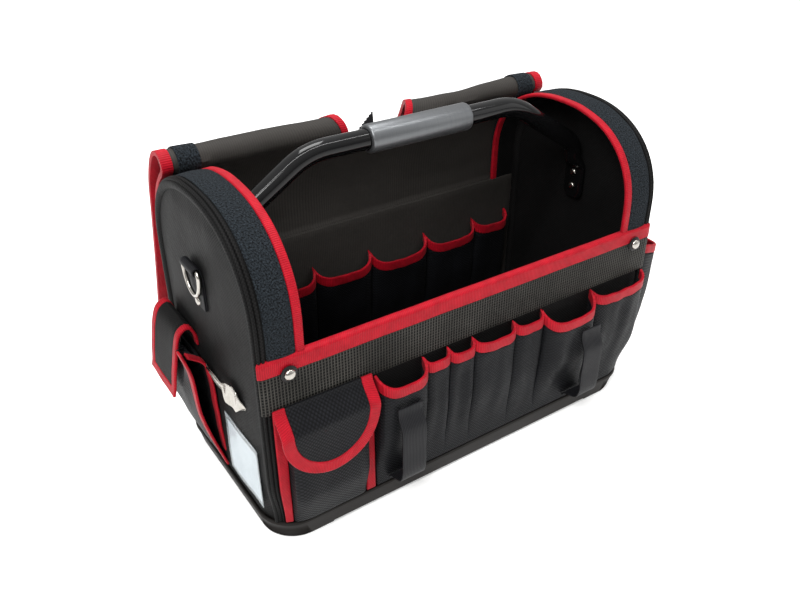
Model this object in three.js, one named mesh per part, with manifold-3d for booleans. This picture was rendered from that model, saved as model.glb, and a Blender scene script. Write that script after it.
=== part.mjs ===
// Open tool bag: a moulded base tray, two arched end panels with hoods, a front wall with a row of pockets,
// a back wall whose lid is thrown back, a bent steel handle and pockets on both ends.
// Millimetres, +Z up, front towards -Y, the origin on the floor under the middle of the tray.
import * as THREE from "three";
import { mergeVertices } from "three/addons/utils/BufferGeometryUtils.js";
import Module from "manifold-3d";

const wasm = await Module();
wasm.setup();

// Overall sizes
const bagLength = 440;
const bagDepth = 206;
const archTop = 314;
const archSpring = 223; // height where the straight sides of the arch end
const archPower = 2.3; // superellipse exponent of the arch
const frontTop = 202;
const backTop = 192; // crease between the back wall and the lid

// Stock thicknesses
const gap = 0.3;
const wall = 4; // padded wall
const hoodWall = 3;
const cloth = 1.8;
const tape = 3; // folded binding tape
const webbing = 1.5;

// Base tray
const trayHeight = 23;
const trayTaper = 4.4;
const trayLip = 3.3;
const trayCorner = 36;
const trayFloor = 5.5;
const trayRim = 9;
const footHeight = 3;
const footRun = 22; // how far a corner foot runs past the corner arc
const solePlateInset = 30;

// Corners and arch trim
const weltRadius = 5.2;
const weltProud = 2.2; // how far the welt stands out from the end face
const hoodWidth = 40; // from the end face to the hood's inner edge
const hoodBindingWidth = 8;
const bindingProud = 0.5; // how much thicker a hood's binding is than the hood, on each face
const topBindingReturn = 5.5; // how far the front's binding runs back past the welt
const cornerTuck = 0.8;
const tuckHeight = 78;

// Front
const topBindingHeight = 13.5;
const bandBottom = 154;
const rivetX = 197;
const rivetZ = 189;
const pocketTop = 152;
const pocketFoot = 25;
const pocketBinding = 10;
const pocketRowLeft = -116.5;
// Open front pockets: right-hand seam as a share of half the length, depth in mm of the bulge, sag of the lip
const frontPockets = [
  { seam: -0.3, depth: 17, sag: 9 },
  { seam: -0.175, depth: 8, sag: 5 },
  { seam: -0.045, depth: 9, sag: 6 },
  { seam: 0.18, depth: 11, sag: 6 },
  { seam: 0.345, depth: 9, sag: 5 },
  { seam: 0.65, depth: 18, sag: 14 },
  { seam: 0.965, depth: 12, sag: 7 },
];
const pouchLeft = -214;
const pouchDepth = 15;
const pouchTop = 139;
const sideTapeWidth = 9.5;
const flapTop = 162;
const flapBottom = 84;
const flapWidth = 97;
const flapBinding = 11;
const flapStandOff = 4;
const strapWidth = 26;
const strapStandOff = 27;
const strapTop = 121;
const strapFoot = 31;
const strapCentres = [-92, 130];

// Lid, thrown back over the hoods
const lidWidth = 436;
const lidWall = 4;
const lidBinding = 10;
const lidLeave = 0.75; // share of the half depth where the lid leaves the arch
const hookStripWidth = 20;
const hookStripInset = 15;
const windowLength = 118;
const windowFrom = 0.265; // shares of the lid's run where the handle window starts and ends
const windowTo = 0.55;
// Section of the thrown-back part: y as a share of the bag's depth, z as a share of the arch's height
const lidFold = [
  { y: 0.338, z: 0.968 },
  { y: 0.345, z: 0.99 },
  { y: 0.375, z: 1.006 },
  { y: 0.42, z: 1.002 },
  { y: 0.468, z: 0.975 },
  { y: 0.51, z: 0.935 },
  { y: 0.55, z: 0.88 },
  { y: 0.585, z: 0.79 },
  { y: 0.63, z: 0.68 },
  { y: 0.685, z: 0.55 },
  { y: 0.745, z: 0.42 },
  { y: 0.785, z: 0.33 },
];

// Handle
const handleHeight = 320;
const tubeRadius = 9.5;
const handleFlat = 110; // half the run under the hand, to the middle of the bend
const handleBend = 16;
const shoulderHeight = 262; // middle of the bend above each end
const shoulderBend = 12;
const plateThickness = 5;
const plateWidth = 26;
const plateBottom = 199;
const plateTop = 235; // above it the flattened end turns round
const gripLength = 108;
const gripRadius = 13;
const gripCentre = 3; // the sleeve sits a little to the right of the middle
const handleRivets = [228, 212];
const rivetRadius = 4.2;
const shankRadius = 1.8;

// Ring tabs
const ringY = 7; // the rings hang a little behind the middle of the ends
const ringZ = 242;
const ringWire = 2;
const ringBar = 34;
const ringDrop = 27;
const ringCorner = 3;
const ringPlay = 0.8;
const tabWidth = 27;
const tabFoot = 203;
const tabRivetZ = 208;

// Pocket on the left end: two leaves, open towards the front, under a flap
const leafNear = 4; // y of the leaves' near ends, where their tapes start
const leafFar = 92;
const leafClose = 28; // run over which the leaves come back to the panel
const leafBinding = 9;
// Sections of a leaf at its open end and under the flap: distance out in mm, z as a share of the front's height
const outerLeaf = [
  { near: 1.8, nearZ: 0.14, under: 1.4, underZ: 0.14 },
  { near: 8, nearZ: 0.245, under: 9.5, underZ: 0.24 },
  { near: 14, nearZ: 0.345, under: 15.5, underZ: 0.345 },
  { near: 19.5, nearZ: 0.48, under: 21.5, underZ: 0.47 },
  { near: 21.5, nearZ: 0.6, under: 22.5, underZ: 0.57 },
  { near: 23.5, nearZ: 0.72, under: 18.5, underZ: 0.67 },
  { near: 30, nearZ: 0.83, under: 13, underZ: 0.725 },
];
const innerLeaf = [
  { near: 1.8, nearZ: 0.23, under: 1.4, underZ: 0.23 },
  { near: 3.6, nearZ: 0.36, under: 2.6, underZ: 0.35 },
  { near: 4.6, nearZ: 0.49, under: 3, underZ: 0.47 },
  { near: 6, nearZ: 0.66, under: 3.4, underZ: 0.58 },
  { near: 10, nearZ: 0.745, under: 4, underZ: 0.65 },
  { near: 24.5, nearZ: 0.805, under: 6, underZ: 0.7 },
];
const endFlapNear = 29;
const endFlapFar = 90;
const endFlapBinding = 8;
// Section of the end flap: distance out from the panel in mm, z as a share of the front's height
const endFlapRun = [
  { out: 2.2, z: 0.735 },
  { out: 3.5, z: 0.79 },
  { out: 9, z: 0.838 },
  { out: 16.5, z: 0.822 },
  { out: 22.5, z: 0.755 },
  { out: 27, z: 0.64 },
  { out: 30, z: 0.54 },
  { out: 32, z: 0.5 },
];
const label = { near: -84, far: -18, low: 42, high: 104, thick: 1.2 };
// Metal tape clip: half widths along its length, given as shares
const clipShape = [
  { run: 0, half: 2.5 },
  { run: 0.08, half: 1.6 },
  { run: 0.3, half: 3.6 },
  { run: 0.46, half: 3 },
  { run: 0.52, half: 8 },
  { run: 0.62, half: 12 },
  { run: 0.84, half: 12 },
  { run: 0.92, half: 5 },
  { run: 1, half: 1.5 },
];
const clipStart = { out: 9, y: -7, z: 150 };
const clipEnd = { out: 1.4, y: -67, z: 138 };
const clipThickness = 1.4;

// Pocket on the right end
const sidePocket = { near: -90, far: 42, foot: 30, top: 176, depth: 24, sag: 10 };

// Pockets inside the back wall: seams as shares of half the length
const insidePockets = [
  { seam: -0.62, depth: 13, sag: 9 },
  { seam: -0.3, depth: 16, sag: 12 },
  { seam: 0.02, depth: 15, sag: 12 },
  { seam: 0.36, depth: 17, sag: 14 },
  { seam: 0.68, depth: 16, sag: 13 },
  { seam: 0.91, depth: 13, sag: 9 },
];
const insidePocketLeft = -200;
const insidePocketTop = 150;

// Places that follow from the sizes above
const halfLength = bagLength / 2;
const halfDepth = bagDepth / 2;
const clothBase = trayHeight + gap; // the cloth body stands on the tray's rim
const weltX = halfLength + weltProud - weltRadius;
// walls and hoods end just clear of the welts
const wallHalf = weltX - Math.sqrt(weltRadius ** 2 - (weltRadius - wall) ** 2) - gap;
const panelInset = 2 * weltRadius + gap;

const finish = (color, roughness, metalness = 0) =>
  new THREE.MeshStandardMaterial({ color, roughness, metalness });
const polyester = finish(0x1b1b1d, 0.85);
const looped = finish(0x23262a, 0.95);
const netting = finish(0x2c2c2a, 0.8);
const redTape = finish(0xc4202f, 0.75);
const moulded = finish(0x2f2d2b, 0.6);
const enamel = finish(0x0b0b0c, 0.2, 0.3);
const sleeve = finish(0x77797c, 0.45, 0.6);
const nickel = finish(0xc9c6c0, 0.25, 1);
const blackened = finish(0x121212, 0.4, 0.4);
const vinyl = finish(0xc9ccd0, 0.2);

const bag = new THREE.Group();

// Geometry helpers

function indexed(positions, triangles) {
  const made = new THREE.BufferGeometry();
  made.setAttribute("position", new THREE.Float32BufferAttribute(positions, 3));
  made.setIndex(triangles);
  return faceOut(made);
}

// Turns every face round when the signed volume says that they point inwards.
function faceOut(geometry) {
  const at = geometry.getAttribute("position");
  const index = geometry.index.array;
  const corners = [new THREE.Vector3(), new THREE.Vector3(), new THREE.Vector3()];
  let volume = 0;
  for (let i = 0; i < index.length; i += 3) {
    corners.forEach((corner, k) => corner.fromBufferAttribute(at, index[i + k]));
    volume += corners[0].dot(corners[1].clone().cross(corners[2]));
  }
  if (volume < 0)
    for (let i = 0; i < index.length; i += 3)
      [index[i + 1], index[i + 2]] = [index[i + 2], index[i + 1]];
  return geometry;
}

// A wall of even thickness about a grid of points, closed round its edges.
function sheet(grid, thickness) {
  const rows = grid.length;
  const columns = grid[0].length;
  const positions = [];
  const triangles = [];
  for (const side of [1, -1])
    grid.forEach((row, i) =>
      row.forEach((point, j) => {
        const along = grid[Math.min(i + 1, rows - 1)][j].clone().sub(grid[Math.max(i - 1, 0)][j]);
        const across = row[Math.min(j + 1, columns - 1)].clone().sub(row[Math.max(j - 1, 0)]);
        const normal = along.cross(across).normalize();
        positions.push(...point.clone().addScaledVector(normal, (side * thickness) / 2));
      }),
    );
  const at = (side, i, j) => side * rows * columns + i * columns + j;
  const quad = (a, b, c, d) => triangles.push(a, b, c, a, c, d);
  for (let i = 0; i + 1 < rows; i++)
    for (let j = 0; j + 1 < columns; j++) {
      quad(at(0, i, j), at(0, i + 1, j), at(0, i + 1, j + 1), at(0, i, j + 1));
      quad(at(1, i, j), at(1, i, j + 1), at(1, i + 1, j + 1), at(1, i + 1, j));
    }
  for (let i = 0; i + 1 < rows; i++)
    for (const j of [0, columns - 1]) {
      const [a, b, c, d] = [at(0, i, j), at(0, i + 1, j), at(1, i + 1, j), at(1, i, j)];
      j ? quad(a, b, c, d) : quad(d, c, b, a);
    }
  for (let j = 0; j + 1 < columns; j++)
    for (const i of [0, rows - 1]) {
      const [a, b, c, d] = [at(0, i, j), at(0, i, j + 1), at(1, i, j + 1), at(1, i, j)];
      i ? quad(d, c, b, a) : quad(a, b, c, d);
    }
  return indexed(positions, triangles);
}

// A skin through closed loops of equal point counts, with flat caps on its first and last loop.
function loft(loops) {
  const count = loops[0].length;
  const positions = loops.flat().flatMap((point) => [...point]);
  const triangles = [];
  for (let i = 0; i + 1 < loops.length; i++)
    for (let j = 0; j < count; j++) {
      const next = (j + 1) % count;
      const [a, b] = [i * count + j, i * count + next];
      triangles.push(a, b, b + count, a, b + count, a + count);
    }
  const last = (loops.length - 1) * count;
  for (let j = 1; j + 1 < count; j++) {
    triangles.push(0, j + 1, j);
    triangles.push(last, last + j, last + j + 1);
  }
  return indexed(positions, triangles);
}

const toSolid = (geometry) => {
  const bare = geometry.index ? geometry.toNonIndexed() : geometry.clone();
  bare.deleteAttribute("normal");
  bare.deleteAttribute("uv");
  const merged = mergeVertices(bare, 1e-4);
  return new wasm.Manifold(
    new wasm.Mesh({
      numProp: 3,
      vertProperties: merged.attributes.position.array,
      triVerts: new Uint32Array(merged.index.array),
    }),
  );
};

const toGeometry = (solid) => {
  const mesh = solid.getMesh();
  const made = new THREE.BufferGeometry();
  made.setAttribute("position", new THREE.BufferAttribute(new Float32Array(mesh.vertProperties), 3));
  made.setIndex(new THREE.BufferAttribute(new Uint32Array(mesh.triVerts), 1));
  return made;
};

const cut = (geometry, ...tools) =>
  toGeometry(tools.reduce((solid, tool) => solid.subtract(toSolid(tool)), toSolid(geometry)));

const mirrored = (geometry) => {
  const turned = (geometry.index ? geometry : mergeVertices(geometry)).clone();
  const at = turned.getAttribute("position");
  for (let i = 0; i < at.count; i++) at.setX(i, -at.getX(i));
  return faceOut(turned);
};

// The cloth body's corners are drawn in near the tray, whose corners are rounder.
function tucked(geometry) {
  const at = geometry.getAttribute("position");
  for (let i = 0; i < at.count; i++) {
    const [x, y, z] = [at.getX(i), at.getY(i), at.getZ(i)];
    const dx = Math.abs(x) - (halfLength - trayCorner);
    const dy = Math.abs(y) - (halfDepth - trayCorner);
    if (z >= tuckHeight || dx <= 0 || dy <= 0) continue;
    const share = cornerTuck * (1 - THREE.MathUtils.smoothstep(z, trayHeight, tuckHeight));
    const keep = 1 - share * (1 - Math.max(dx, dy) / Math.hypot(dx, dy));
    at.setX(i, Math.sign(x) * (halfLength - trayCorner + dx * keep));
    at.setY(i, Math.sign(y) * (halfDepth - trayCorner + dy * keep));
  }
  return geometry;
}

function add(name, geometry, material) {
  const mesh = new THREE.Mesh(geometry, material);
  mesh.name = name;
  bag.add(mesh);
}

const range = (from, to, steps) =>
  Array.from({ length: steps + 1 }, (_, i) => from + ((to - from) * i) / steps);

const gridOf = (us, vs, at) => us.map((u) => vs.map((v) => at(u, v)));

// The point and direction at a share of a curve's length, carried on straight past its ends.
function onward(curve, share, length) {
  const held = THREE.MathUtils.clamp(share, 0, 1);
  const along = curve.getTangentAt(held);
  return { point: curve.getPointAt(held).addScaledVector(along, (share - held) * length), along };
}

// A round bar along X or Y, centred at a point.
function bar(radius, length, axis, x, y, z, sides = 14) {
  const made = new THREE.CylinderGeometry(radius, radius, length, sides);
  if (axis === "x") made.rotateZ(Math.PI / 2);
  return made.translate(x, y, z);
}

// Arch outline of the ends in the YZ plane, from the front foot over the top to the back foot.
function archLine(inset, frontFoot, backFoot, archSteps = 22) {
  const half = halfDepth - inset;
  const rise = archTop - archSpring - inset;
  const stops = (foot) => [foot, ...[34, 48, 62, tuckHeight, 150, archSpring].filter((z) => z > foot + 4)];
  const points = stops(frontFoot).map((z) => [-half, z]);
  for (let i = 1; i < archSteps; i++) {
    const angle = (Math.PI * i) / archSteps;
    const [c, s] = [Math.cos(angle), Math.sin(angle)];
    points.push([
      -half * Math.sign(c) * Math.abs(c) ** (2 / archPower),
      archSpring + rise * s ** (2 / archPower),
    ]);
  }
  return [...points, ...stops(backFoot).reverse().map((z) => [half, z])];
}

// Plan line of the front just outside the wall: round both corner welts and straight between them.
function frontLine(offset, arcSteps = 4, straightSteps = 4) {
  const radius = weltRadius + offset;
  const centreY = -(halfDepth - weltRadius);
  const round = range(Math.PI, 1.5 * Math.PI, arcSteps).map((angle) => [
    -weltX + radius * Math.cos(angle),
    centreY + radius * Math.sin(angle),
  ]);
  const arc = [[-weltX - radius, centreY + topBindingReturn], ...round];
  const flat = range(-weltX, weltX, straightSteps).slice(1, -1).map((x) => [x, centreY - radius]);
  return [...arc, ...flat, ...arc.map(([x, y]) => [-x, y]).reverse()];
}

// Base tray

function trayLoop(inset, edgeZ, footZ) {
  const halfX = halfLength + trayLip - inset;
  const halfY = halfDepth + trayLip - inset;
  const radius = Math.max(trayCorner + trayLip - inset, 4);
  const step = 1; // run of the small slope at the end of each foot
  const loop = [];
  for (let corner = 0; corner < 4; corner++) {
    const start = (Math.PI / 2) * corner;
    const sx = corner === 0 || corner === 3 ? 1 : -1;
    const sy = corner < 2 ? 1 : -1;
    const centre = [sx * (halfX - radius), sy * (halfY - radius)];
    const arc = range(start, start + Math.PI / 2, 6).map((angle) => [
      centre[0] + radius * Math.cos(angle),
      centre[1] + radius * Math.sin(angle),
    ]);
    // the straight before the arc runs along the tangent at its start, the one after it at its end
    const before = [Math.sin(start), -Math.cos(start)];
    const after = [-Math.sin(start + Math.PI / 2), Math.cos(start + Math.PI / 2)];
    const along = ([x, y], [dx, dy], run) => [x + dx * run, y + dy * run];
    loop.push([...along(arc[0], before, footRun + step), edgeZ], [...along(arc[0], before, footRun), footZ]);
    loop.push(...arc.map(([x, y]) => [x, y, footZ]));
    loop.push([...along(arc[6], after, footRun), footZ], [...along(arc[6], after, footRun + step), edgeZ]);
  }
  return loop.map((point) => new THREE.Vector3(...point));
}

function buildTray() {
  const level = (inset, z) => trayLoop(inset, z, z);
  add(
    "base_tray",
    loft([
      level(solePlateInset + 2, 0),
      trayLoop(solePlateInset, footHeight, 0),
      trayLoop(trayTaper + 2, footHeight, 0),
      trayLoop(trayTaper, footHeight + 2, 2),
      level(1, trayHeight - 4),
      level(0, trayHeight - 1.5),
      level(1, trayHeight),
      level(trayRim, trayHeight),
      level(trayRim + 2, trayFloor),
    ]),
    moulded,
  );
}

// End panels, welts and hoods

function buildEnds() {
  // the panel is a grid, so that its lower corners can be drawn in without twisting the rest
  const levels = [clothBase, 34, 48, 62, tuckHeight, 150, archSpring].map((z) => [1, z]);
  for (const degrees of [12, 24, 36, 48, 60, 70, 79, 86]) {
    const angle = THREE.MathUtils.degToRad(degrees);
    levels.push([
      Math.cos(angle) ** (2 / archPower),
      archSpring + (archTop - archSpring - panelInset) * Math.sin(angle) ** (2 / archPower),
    ]);
  }
  const across = [-1, -0.85, -0.6, -0.3, 0.3, 0.6, 0.85, 1];
  const plate = sheet(
    gridOf(levels, across, ([share, z], side) =>
      new THREE.Vector3(-halfLength + wall / 2, side * share * (halfDepth - panelInset), z),
    ),
    wall,
  );
  const shanks = [...handleRivets.map((z) => [0, z]), [ringY, tabRivetZ]];
  const holes = shanks.map(([y, z]) => bar(shankRadius + gap, 3 * wall, "x", -halfLength, y, z));
  const panel = tucked(cut(plate, ...holes));

  const weltLine = archLine(weltRadius, clothBase, clothBase);
  const points = weltLine.map(([y, z]) => new THREE.Vector3(-weltX, y, z));
  const loops = points.map((point, i) => {
    const ahead = points[Math.min(i + 1, points.length - 1)].clone();
    const along = ahead.sub(points[Math.max(i - 1, 0)]).normalize();
    const side = new THREE.Vector3(1, 0, 0);
    const out = along.clone().cross(side).normalize();
    return range(0, 2 * Math.PI, 10).slice(0, -1).map((angle) =>
      point
        .clone()
        .addScaledVector(side, weltRadius * Math.cos(angle))
        .addScaledVector(out, weltRadius * Math.sin(angle)),
    );
  });
  const welt = tucked(loft(loops));

  const hoodLine = archLine(hoodWall / 2, frontTop + gap, backTop + gap);
  const bindingStart = halfLength - hoodWidth + hoodBindingWidth;
  const strip = (from, to, thickness) =>
    sheet(gridOf([from, to], hoodLine, (x, [y, z]) => new THREE.Vector3(-x, y, z)), thickness);
  const hood = strip(wallHalf, bindingStart + gap, hoodWall);
  const binding = strip(bindingStart, halfLength - hoodWidth, hoodWall + 2 * bindingProud);

  add("end_panel_left", panel, polyester);
  add("end_panel_right", mirrored(panel), polyester);
  add("edge_welt_left", welt, polyester);
  add("edge_welt_right", mirrored(welt), polyester);
  add("hood_left", hood, looped);
  add("hood_right", mirrored(hood), looped);
  add("hood_binding_left", binding, redTape);
  add("hood_binding_right", mirrored(binding), redTape);
}

// Front and back walls

const wallStops = (half) => {
  const ends = [0, 8, 16, 24].map((run) => half - run);
  return [...ends.map((x) => -x), ...ends.reverse()];
};

function buildWalls() {
  const heights = [clothBase, 34, 48, 62, tuckHeight];
  const upright = (y, top) =>
    sheet(gridOf(wallStops(wallHalf), [...heights, top], (x, z) => new THREE.Vector3(x, y, z)), wall);
  const rivetHoles = [-1, 1].map((side) =>
    bar(shankRadius + gap, 40, "y", side * rivetX, -halfDepth, rivetZ),
  );
  const front = cut(upright(-(halfDepth - wall / 2), frontTop - gap), ...rivetHoles);
  add("front_wall", tucked(front), polyester);
  add("back_wall", tucked(upright(halfDepth - wall / 2, backTop - gap)), polyester);

  const bandTop = frontTop - topBindingHeight;
  const band = (offset, low, high, thickness) =>
    sheet(gridOf(frontLine(offset), [low, high], ([x, y], z) => new THREE.Vector3(x, y, z)), thickness);
  const mesh = band(gap + cloth / 2, bandBottom, bandTop - gap, cloth);
  const binding = band(gap + tape / 2, bandTop, frontTop, tape);
  add("mesh_band", cut(mesh, ...rivetHoles), netting);
  add("front_top_binding", cut(binding, ...rivetHoles), redTape);

  for (const [side, x] of [["left", -rivetX], ["right", rivetX]]) {
    const seat = -(halfDepth + tape + 2 * gap);
    const washer = new THREE.LatheGeometry(
      [[shankRadius + gap, 0], [7.5, 0], [7.5, 0.7], [6.8, 1.2], [shankRadius + gap, 1.2], [shankRadius + gap, 0]].map(
        ([r, h]) => new THREE.Vector2(r, h),
      ),
      18,
    );
    const head = new THREE.LatheGeometry(
      [[0, -wall - 3], [shankRadius, -wall - 3], [shankRadius, 1.5], [5, 1.5], [4.8, 2.6], [3.4, 3.9], [1.6, 4.5], [0, 4.6]].map(
        ([r, h]) => new THREE.Vector2(r, h),
      ),
      18,
    );
    // both profiles run outwards, so they turn to face the front
    for (const [name, part, material] of [
      ["front_washer_", washer, blackened],
      ["front_rivet_", head, nickel],
    ])
      add(name + side, part.rotateX(Math.PI).translate(x, seat, rivetZ), material);
  }
}

// Pockets that are one strip of cloth sewn down at seams

// Where in its pocket a place along the row lies, and how far it bulges: 0 at a seam, 1 in the middle.
function bulgeAt(row, start, x) {
  let left = start;
  for (const pocket of row) {
    const right = pocket.seam * halfLength;
    if (x <= right + 1e-6) {
      const across = Math.min(Math.max((2 * (x - left)) / (right - left) - 1, -1), 1);
      return { pocket, share: (1 - Math.abs(across) ** 4) ** 0.5 };
    }
    left = right;
  }
  return { pocket: row.at(-1), share: 0 };
}

const rowStops = (row, start) => {
  const shares = [0, 0.07, 0.2, 0.5, 0.8, 0.93];
  let left = start;
  const stops = row.flatMap(({ seam }) => {
    const right = seam * halfLength;
    const here = shares.map((share) => left + share * (right - left));
    left = right;
    return here;
  });
  return [...stops, row.at(-1).seam * halfLength];
};

// rise runs from 0 at the foot to 1 at the lip: the bulge opens quickly and then stays.
const swell = (rise) => THREE.MathUtils.smoothstep(rise, 0, 0.62) * (0.82 + 0.18 * rise);

// The pockets' cloth, whole or seam by seam, and the tape along its lip, on a wall that faces the way of out.
function pocketRow(row, start, foot, top, faceY, out) {
  const stand = gap + tape / 2;
  const place = (x, rise, reach) => {
    const { pocket, share } = bulgeAt(row, start, x);
    const lip = top - pocket.sag * share;
    const z = foot + (lip - reach - foot) * rise;
    const bulge = pocket.depth * share * swell((z - foot) / (lip - foot));
    return new THREE.Vector3(x, faceY + out * (stand + bulge), z);
  };
  const stops = rowStops(row, start);
  // inset draws both ends of the cloth in from its seams, to clear the next pocket's cloth
  const clothAt = (some, inset = 0) => {
    const middle = (some[0] + some.at(-1)) / 2;
    const keep = 1 - (2 * inset) / (some.at(-1) - some[0]);
    const at = (x, rise) => {
      const point = place(x, rise, pocketBinding + 4 * gap);
      return point.setX(middle + (point.x - middle) * keep);
    };
    return sheet(gridOf(some, [0, 0.15, 0.3, 0.45, 0.62, 0.8, 1], at), cloth);
  };
  const lip = gridOf(stops, [0, 1], (x, edge) => {
    const { pocket, share } = bulgeAt(row, start, x);
    const high = top - pocket.sag * share;
    const z = high - pocketBinding * (1 - edge);
    return new THREE.Vector3(x, faceY + out * (stand + pocket.depth * share * swell((z - foot) / (high - foot))), z);
  });
  const perPocket = (stops.length - 1) / row.length;
  const single = row.map((_, i) =>
    clothAt(stops.slice(i * perPocket, (i + 1) * perPocket + 1), (cloth + gap) / 2),
  );
  return { body: clothAt(stops), single, lip: sheet(lip, tape - gap) };
}

function buildFrontPockets() {
  const row = pocketRow(frontPockets, pocketRowLeft, pocketFoot, pocketTop, -halfDepth, -1);
  add("front_pocket_row", tucked(row.body), polyester);
  add("front_pocket_binding", row.lip, redTape);

  for (const [i, centre] of strapCentres.entries()) {
    const stand = gap + tape / 2 + cloth / 2 + webbing / 2 + 0.5;
    const bulges = [-1, 0, 1].map((side) => {
      const { pocket, share } = bulgeAt(frontPockets, pocketRowLeft, centre + (side * strapWidth) / 2);
      return pocket.depth * share;
    });
    const surface = (z) =>
      halfDepth + stand + Math.max(...bulges) * swell((z - pocketFoot) / (pocketTop - pocketFoot));
    const outer = halfDepth + strapStandOff;
    const run = [
      [surface(strapTop), strapTop],
      [surface(strapTop - 8) + 0.6, strapTop - 8],
      [outer - 4, strapTop - 13],
      [outer, strapTop - 18],
      [outer, strapFoot + 16],
      [outer - 4, strapFoot + 9],
      [surface(strapFoot + 5) + 3, strapFoot + 4],
      [surface(strapFoot), strapFoot],
    ];
    const across = [-strapWidth / 2, strapWidth / 2];
    const grid = gridOf(across, run, (x, [y, z]) => new THREE.Vector3(centre + x, -y, z));
    add(i ? "level_strap_right" : "level_strap_left", sheet(grid, webbing), looped);
  }
}

// Flap pocket at the left of the front

function buildPouch() {
  const right = pocketRowLeft - gap - cloth;
  const side = gap + 0.6 * cloth; // the pouch's edge lies this far from the tapes at its sides
  const inner = { left: pouchLeft + sideTapeWidth + side, right: right - sideTapeWidth - side };
  const width = inner.right - inner.left;
  const stand = gap + tape / 2;
  const grid = gridOf([0, 0.03, 0.09, 0.2, 0.5, 0.8, 0.91, 0.97, 1], [0, 0.12, 0.3, 0.6, 1], (across, rise) => {
    const share = (1 - Math.abs(2 * across - 1) ** 8) ** 0.5;
    const opening = THREE.MathUtils.smoothstep(rise, -0.1, 0.35);
    const z = pocketFoot + (pouchTop - pocketFoot) * rise;
    return new THREE.Vector3(inner.left + width * across, -(halfDepth + stand + pouchDepth * share * opening), z);
  });
  add("flap_pocket_body", tucked(sheet(grid, cloth)), polyester);
  for (const [name, low, from] of [["left", pocketFoot, pouchLeft], ["right", pocketFoot, right - sideTapeWidth]]) {
    const strip = gridOf(range(from, from + sideTapeWidth, 2), [low, 34, 48, 62, tuckHeight, pouchTop], (x, z) =>
      new THREE.Vector3(x, -(halfDepth + stand), z),
    );
    add("pouch_tape_" + name, tucked(sheet(strip, tape)), redTape);
  }

  // The flap leaves the foot of the mesh band, clears the pouch and hangs in front of it.
  const centre = (pouchLeft + right) / 2;
  const shoulder = 0.32; // share of the drop where the sides start to turn in
  const drop = flapTop - flapBottom;
  const halfAt = (down, inset) => {
    const turn = Math.max(0, (down - shoulder * drop) / ((1 - shoulder) * drop - inset));
    return (flapWidth / 2 - inset) * Math.sqrt(Math.max(0, 1 - Math.min(turn, 1) ** 2));
  };
  const depthAt = (down) =>
    halfDepth + 2 * gap + cloth + tape / 2 + (pouchDepth + flapStandOff - cloth) * THREE.MathUtils.smoothstep(down, 2, 21);
  const place = (x, down) => new THREE.Vector3(centre + x, -depthAt(down), flapTop - down);
  const innerDrop = drop - flapBinding - gap;
  const rows = [0, 0.08, 0.17, 0.27, 0.4, 0.55, 0.7, 0.82, 0.91, 0.97, 0.995].map((share) => share * innerDrop);
  const flap = gridOf(rows, range(-1, 1, 6), (down, side) =>
    place(side * halfAt(down, flapBinding + gap), down),
  );
  add("front_flap", sheet(flap, cloth), polyester);
  // the tape runs down one side, round the foot and up the other
  const turns = range(0, Math.PI, 16);
  const edge = (inset) => {
    const foot = shoulder * drop;
    const half = flapWidth / 2 - inset;
    const straight = [0, 0.25, 0.5, 0.75].map((share) => [-half, share * foot]);
    const arc = turns.map((angle) => [-half * Math.cos(angle), foot + (drop - foot - inset) * Math.sin(angle)]);
    return [...straight, ...arc, ...straight.map(([x, down]) => [-x, down]).reverse()];
  };
  const [outer, innerEdge] = [edge(0), edge(flapBinding)];
  const band = [0, 1].map((side) =>
    outer.map((_, i) => {
      const [x, down] = side ? innerEdge[i] : outer[i];
      return place(x, down);
    }),
  );
  add("front_flap_binding", sheet(band, tape), redTape);
}

// Lid

function buildLid() {
  const stripThickness = 1.5;
  const clear = bindingProud + gap + stripThickness + 2 * gap + lidWall / 2;
  const rest = archLine(-clear, backTop + gap, backTop + gap, 40)
    .filter(([y]) => y > lidLeave * halfDepth)
    .reverse();
  const run = [...rest, ...lidFold.map(({ y, z }) => [y * bagDepth, z * archTop])];
  const path = new THREE.CatmullRomCurve3(run.map(([y, z]) => new THREE.Vector3(0, y, z)), false, "centripetal");
  path.arcLengthDivisions = 400;
  const half = lidWidth / 2;
  const length = path.getLength();
  const at = (offset) => (x, share) => {
    const { point, along } = onward(path, share, length);
    return new THREE.Vector3(x, point.y - along.z * offset, point.z + along.y * offset);
  };
  // every layer of the lid bends at the same places
  const bends = range(0, 1, 56);
  const patch = (x0, x1, s0, s1, thickness, offset = 0) => {
    const stops = [s0, ...bends.filter((share) => share > s0 + 0.004 && share < s1 - 0.004), s1];
    return sheet(gridOf([x0, x1], stops, at(offset)), thickness);
  };
  const edge = lidBinding / length;
  const window = windowLength / 2;
  const clearEdge = gap / length;
  const lid = cut(
    patch(-half + lidBinding + gap, half - lidBinding - gap, 0, 1 - edge - clearEdge, lidWall),
    patch(-window, window, windowFrom, windowTo, 3 * lidWall),
  );
  add("lid", lid, polyester);
  const frame = cut(
    patch(-half, half, 0, 1, lidWall + 1),
    patch(-half + lidBinding, half - lidBinding, -0.02, 1 - edge, 3 * lidWall),
  );
  add("lid_edge_binding", frame, redTape);
  const inset = 8;
  const windowFrame = cut(
    patch(-window + gap, window - gap, windowFrom + clearEdge, windowTo - clearEdge, lidWall + 1),
    patch(-window + inset, window - inset, windowFrom + inset / length, windowTo - inset / length, 3 * lidWall),
  );
  add("lid_window_binding", windowFrame, redTape);
  const offset = lidWall / 2 + 2 * gap + stripThickness / 2;
  for (const [side, sign] of [["left", -1], ["right", 1]]) {
    const [from, to] = [half - hookStripInset, half - hookStripInset - hookStripWidth];
    add("hook_strip_" + side, patch(sign * from, sign * to, 0.01, 0.95, stripThickness, offset), looped);
  }
}

// Handle

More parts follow.
